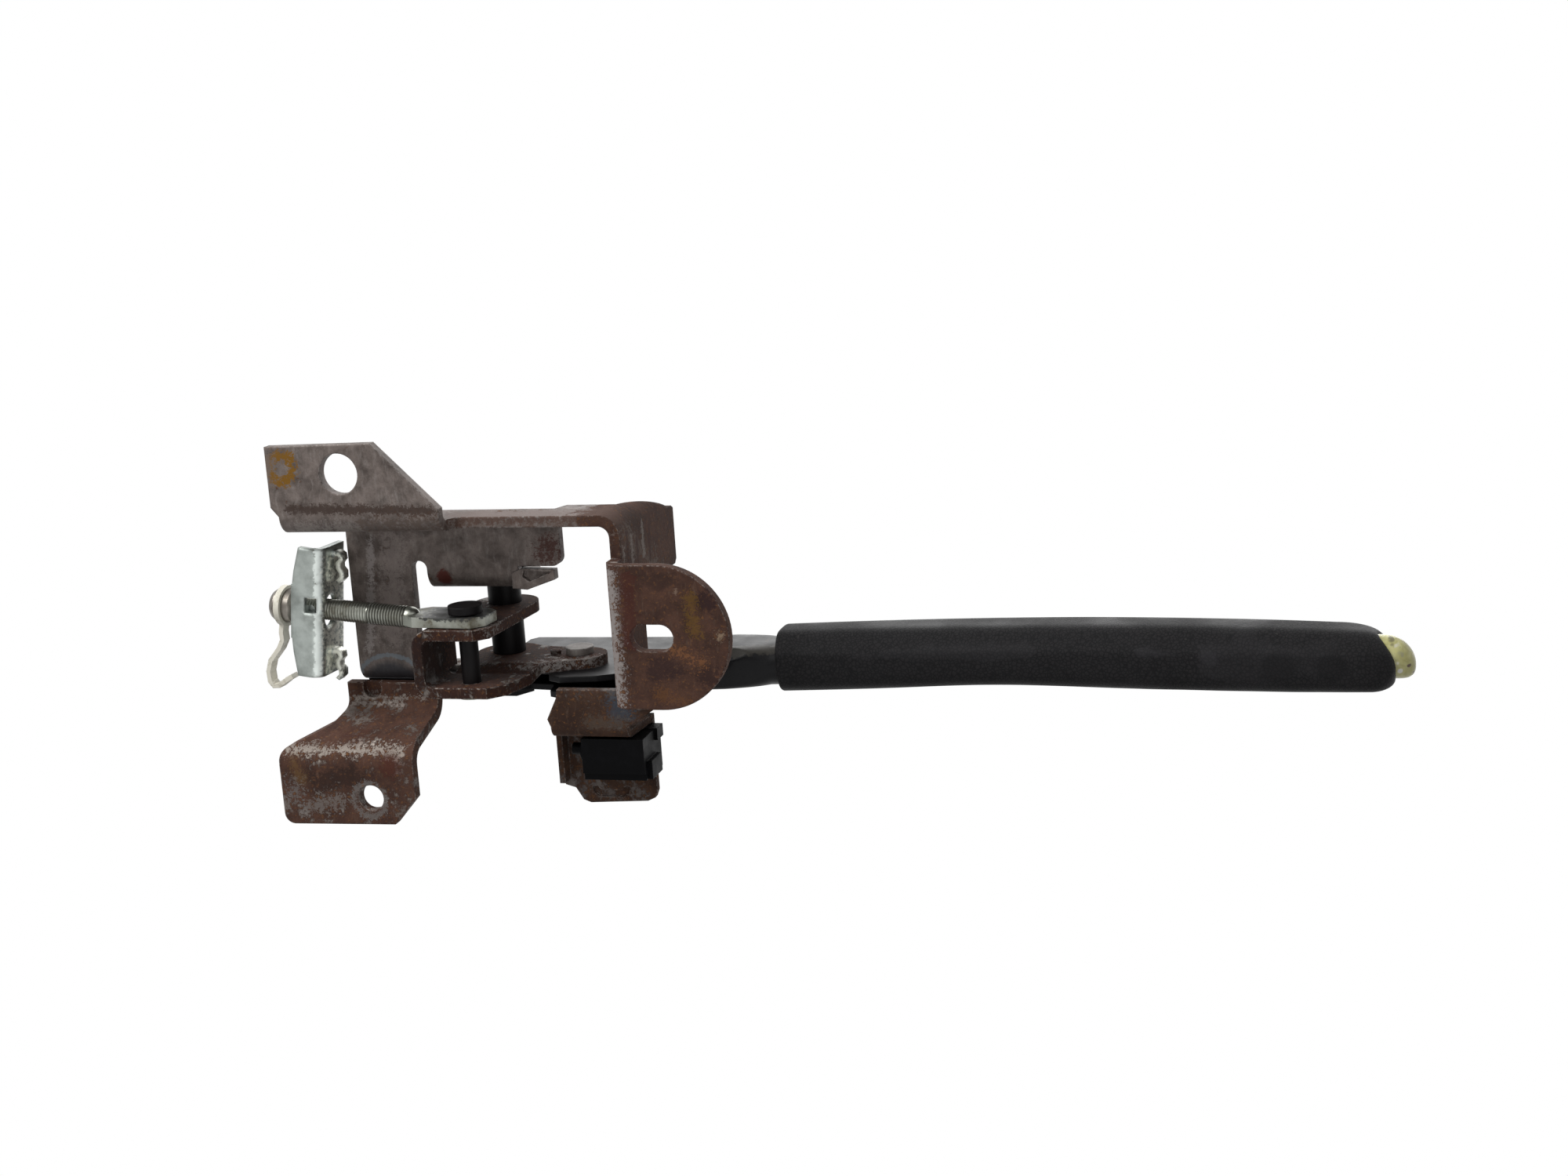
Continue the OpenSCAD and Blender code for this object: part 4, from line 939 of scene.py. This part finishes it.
@dataclass
class Lever:
    """The painted lever with its crank, pawl, grip and release button."""

    grip: Grip = field(default_factory=Grip)
    button: ReleaseButton = field(default_factory=ReleaseButton)
    neck: LeverNeck = field(default_factory=LeverNeck)

    def build(self) -> None:
        """Dresses the lever's metal and builds the neck, grip and button."""
        dress(LEVER_PAINT, "lever_arm", "button_guide")
        dress(OXIDE, "pivot_bush", "pawl", "clevis_pin")
        dress(CRANK_STEEL, "crank")
        dress(RIVET_STEEL, "crank_rivet", "pawl_pin")
        dress(WIRE_ZINC, "release_rod", "button_spring", "clevis_clip")
        self.neck.build()
        self.grip.build()
        self.button.build()


@dataclass
class CableEnd:
    """The adjuster rod with its nut, keeper and cable equalizer."""

    def build(self) -> None:
        """Dresses the rod and what it carries."""
        dress(ROD_ZINC, "adjuster_rod")
        dress(NUT_STEEL, "adjuster_nut")
        dress(CLIP_PLASTIC, "nut_clip")
        dress(ZINC, "equalizer")


@dataclass
class Studio:
    """Camera, lamps, floor and background; lengths in metres."""

    eye: Point = (0.3034, -0.1015, -0.5931)
    right: Point = (0.96635, 0.0604, 0.25004)
    up: Point = (0.00204, -0.97381, 0.22737)
    back: Point = (0.25722, -0.21921, -0.94116)
    lens: float = 48.6
    ambient: float = 0.26
    floor_lift: float = 0.36
    floor_half: float = 3.0
    floor_z: float = -0.0004
    lamps: tuple[tuple[str, Point, float, float], ...] = (
        ("key_low", (-0.5, -0.9, -0.5), 0.6, 14.5),
        ("fill_low", (0.5, 0.2, -0.9), 0.9, 1.4),
        ("top_soft", (0.1, -0.35, 1.0), 1.0, 6.0),
    )

    def camera(self) -> None:
        """Stands the camera where the photograph was taken from, below the lever."""
        data = bpy.data.cameras.new("camera")
        data.lens = self.lens
        data.sensor_width = 36.0
        data.clip_start, data.clip_end = 0.01, 20.0
        eye = bpy.data.objects.new("camera", data)
        turn = Matrix((self.right, self.up, self.back)).transposed().to_4x4()
        eye.matrix_world = Matrix.Translation(self.eye) @ turn
        bpy.context.collection.objects.link(eye)
        bpy.context.scene.camera = eye

    def light(self) -> None:
        """Hangs the soft lamps and turns them to the part."""
        aim = (CAD_BOX[0] + CAD_BOX[1]) / 2
        for name, at, size, power in self.lamps:
            data = bpy.data.lights.new(name, "AREA")
            data.size = size
            data.energy = power
            lamp = bpy.data.objects.new(name, data)
            lamp.location = at
            lamp.rotation_mode = "QUATERNION"
            lamp.rotation_quaternion = (aim - Vector(at)).to_track_quat("-Z", "Y")
            bpy.context.collection.objects.link(lamp)

    def background(self) -> None:
        """A white world to the camera and in reflections, and a plain soft light otherwise."""
        world = bpy.data.worlds.new("studio")
        world.use_nodes = True
        bpy.context.scene.world = world
        tree = world.node_tree
        tree.nodes.clear()
        path = add(tree, "ShaderNodeLightPath").outputs
        seen = add(tree, "ShaderNodeMath", {0: path["Is Camera Ray"], 1: path["Is Glossy Ray"]},
                   operation="MAXIMUM").outputs[0]
        seen = add(tree, "ShaderNodeMath", {0: seen, 1: path["Is Transmission Ray"]},
                   operation="MAXIMUM").outputs[0]
        soft = add(tree, "ShaderNodeBackground", {"Color": (1, 1, 1, 1), "Strength": self.ambient}).outputs[0]
        white = add(tree, "ShaderNodeBackground", {"Color": (1, 1, 1, 1), "Strength": 1.0}).outputs[0]
        both = add(tree, "ShaderNodeMixShader", {0: seen, 1: soft, 2: white}).outputs[0]
        add(tree, "ShaderNodeOutputWorld", {"Surface": both})

    def floor(self) -> None:
        """A pale floor under the feet that is seen only from above, so the part shows from below."""
        material = bpy.data.materials.new("floor_pale_matt")
        material.use_nodes = True
        tree = material.node_tree
        tree.nodes.clear()
        behind = add(tree, "ShaderNodeNewGeometry").outputs["Backfacing"]
        paint = add(tree, "ShaderNodeBsdfDiffuse", {"Color": linear("#F1F0EE")}).outputs[0]
        seen = add(tree, "ShaderNodeLightPath").outputs["Is Camera Ray"]
        seen = add(tree, "ShaderNodeMath", {0: seen, 1: self.floor_lift}, operation="MULTIPLY").outputs[0]
        lift = add(tree, "ShaderNodeEmission", {"Strength": seen}).outputs[0]
        paint = add(tree, "ShaderNodeAddShader", {0: paint, 1: lift}).outputs[0]
        clear = add(tree, "ShaderNodeBsdfTransparent").outputs[0]
        both = add(tree, "ShaderNodeMixShader", {0: behind, 1: paint, 2: clear}).outputs[0]
        add(tree, "ShaderNodeOutputMaterial", {"Surface": both})
        ends = np.array([-self.floor_half, self.floor_half])
        x, y = np.meshgrid(ends, ends)
        corners = np.stack([x.ravel(), y.ravel(), np.full(4, self.floor_z)], axis=-1)
        mesh = bpy.data.meshes.new("floor")
        mesh.from_pydata(corners.tolist(), [], [(0, 1, 3, 2)])
        mesh.materials.append(material)
        plane = bpy.data.objects.new("floor", mesh)
        bpy.context.collection.objects.link(plane)
        plane.visible_shadow = plane.visible_diffuse = False
        plane.visible_glossy = plane.visible_transmission = False

    def build(self) -> None:
        """Sets up the whole studio."""
        bpy.context.scene.view_settings.view_transform = "Standard"
        self.camera()
        self.light()
        self.background()
        self.floor()


def main() -> None:
    """Builds the studio and the lever's sub-assemblies in order."""
    logging.basicConfig(level=logging.INFO, format="%(name)s: %(message)s")
    for part in (Studio(), Bracket(), Lever(), CableEnd(), LampSwitch()):
        LOG.info("building %s", type(part).__name__)
        part.build()


if __name__ == "__main__":
    main()
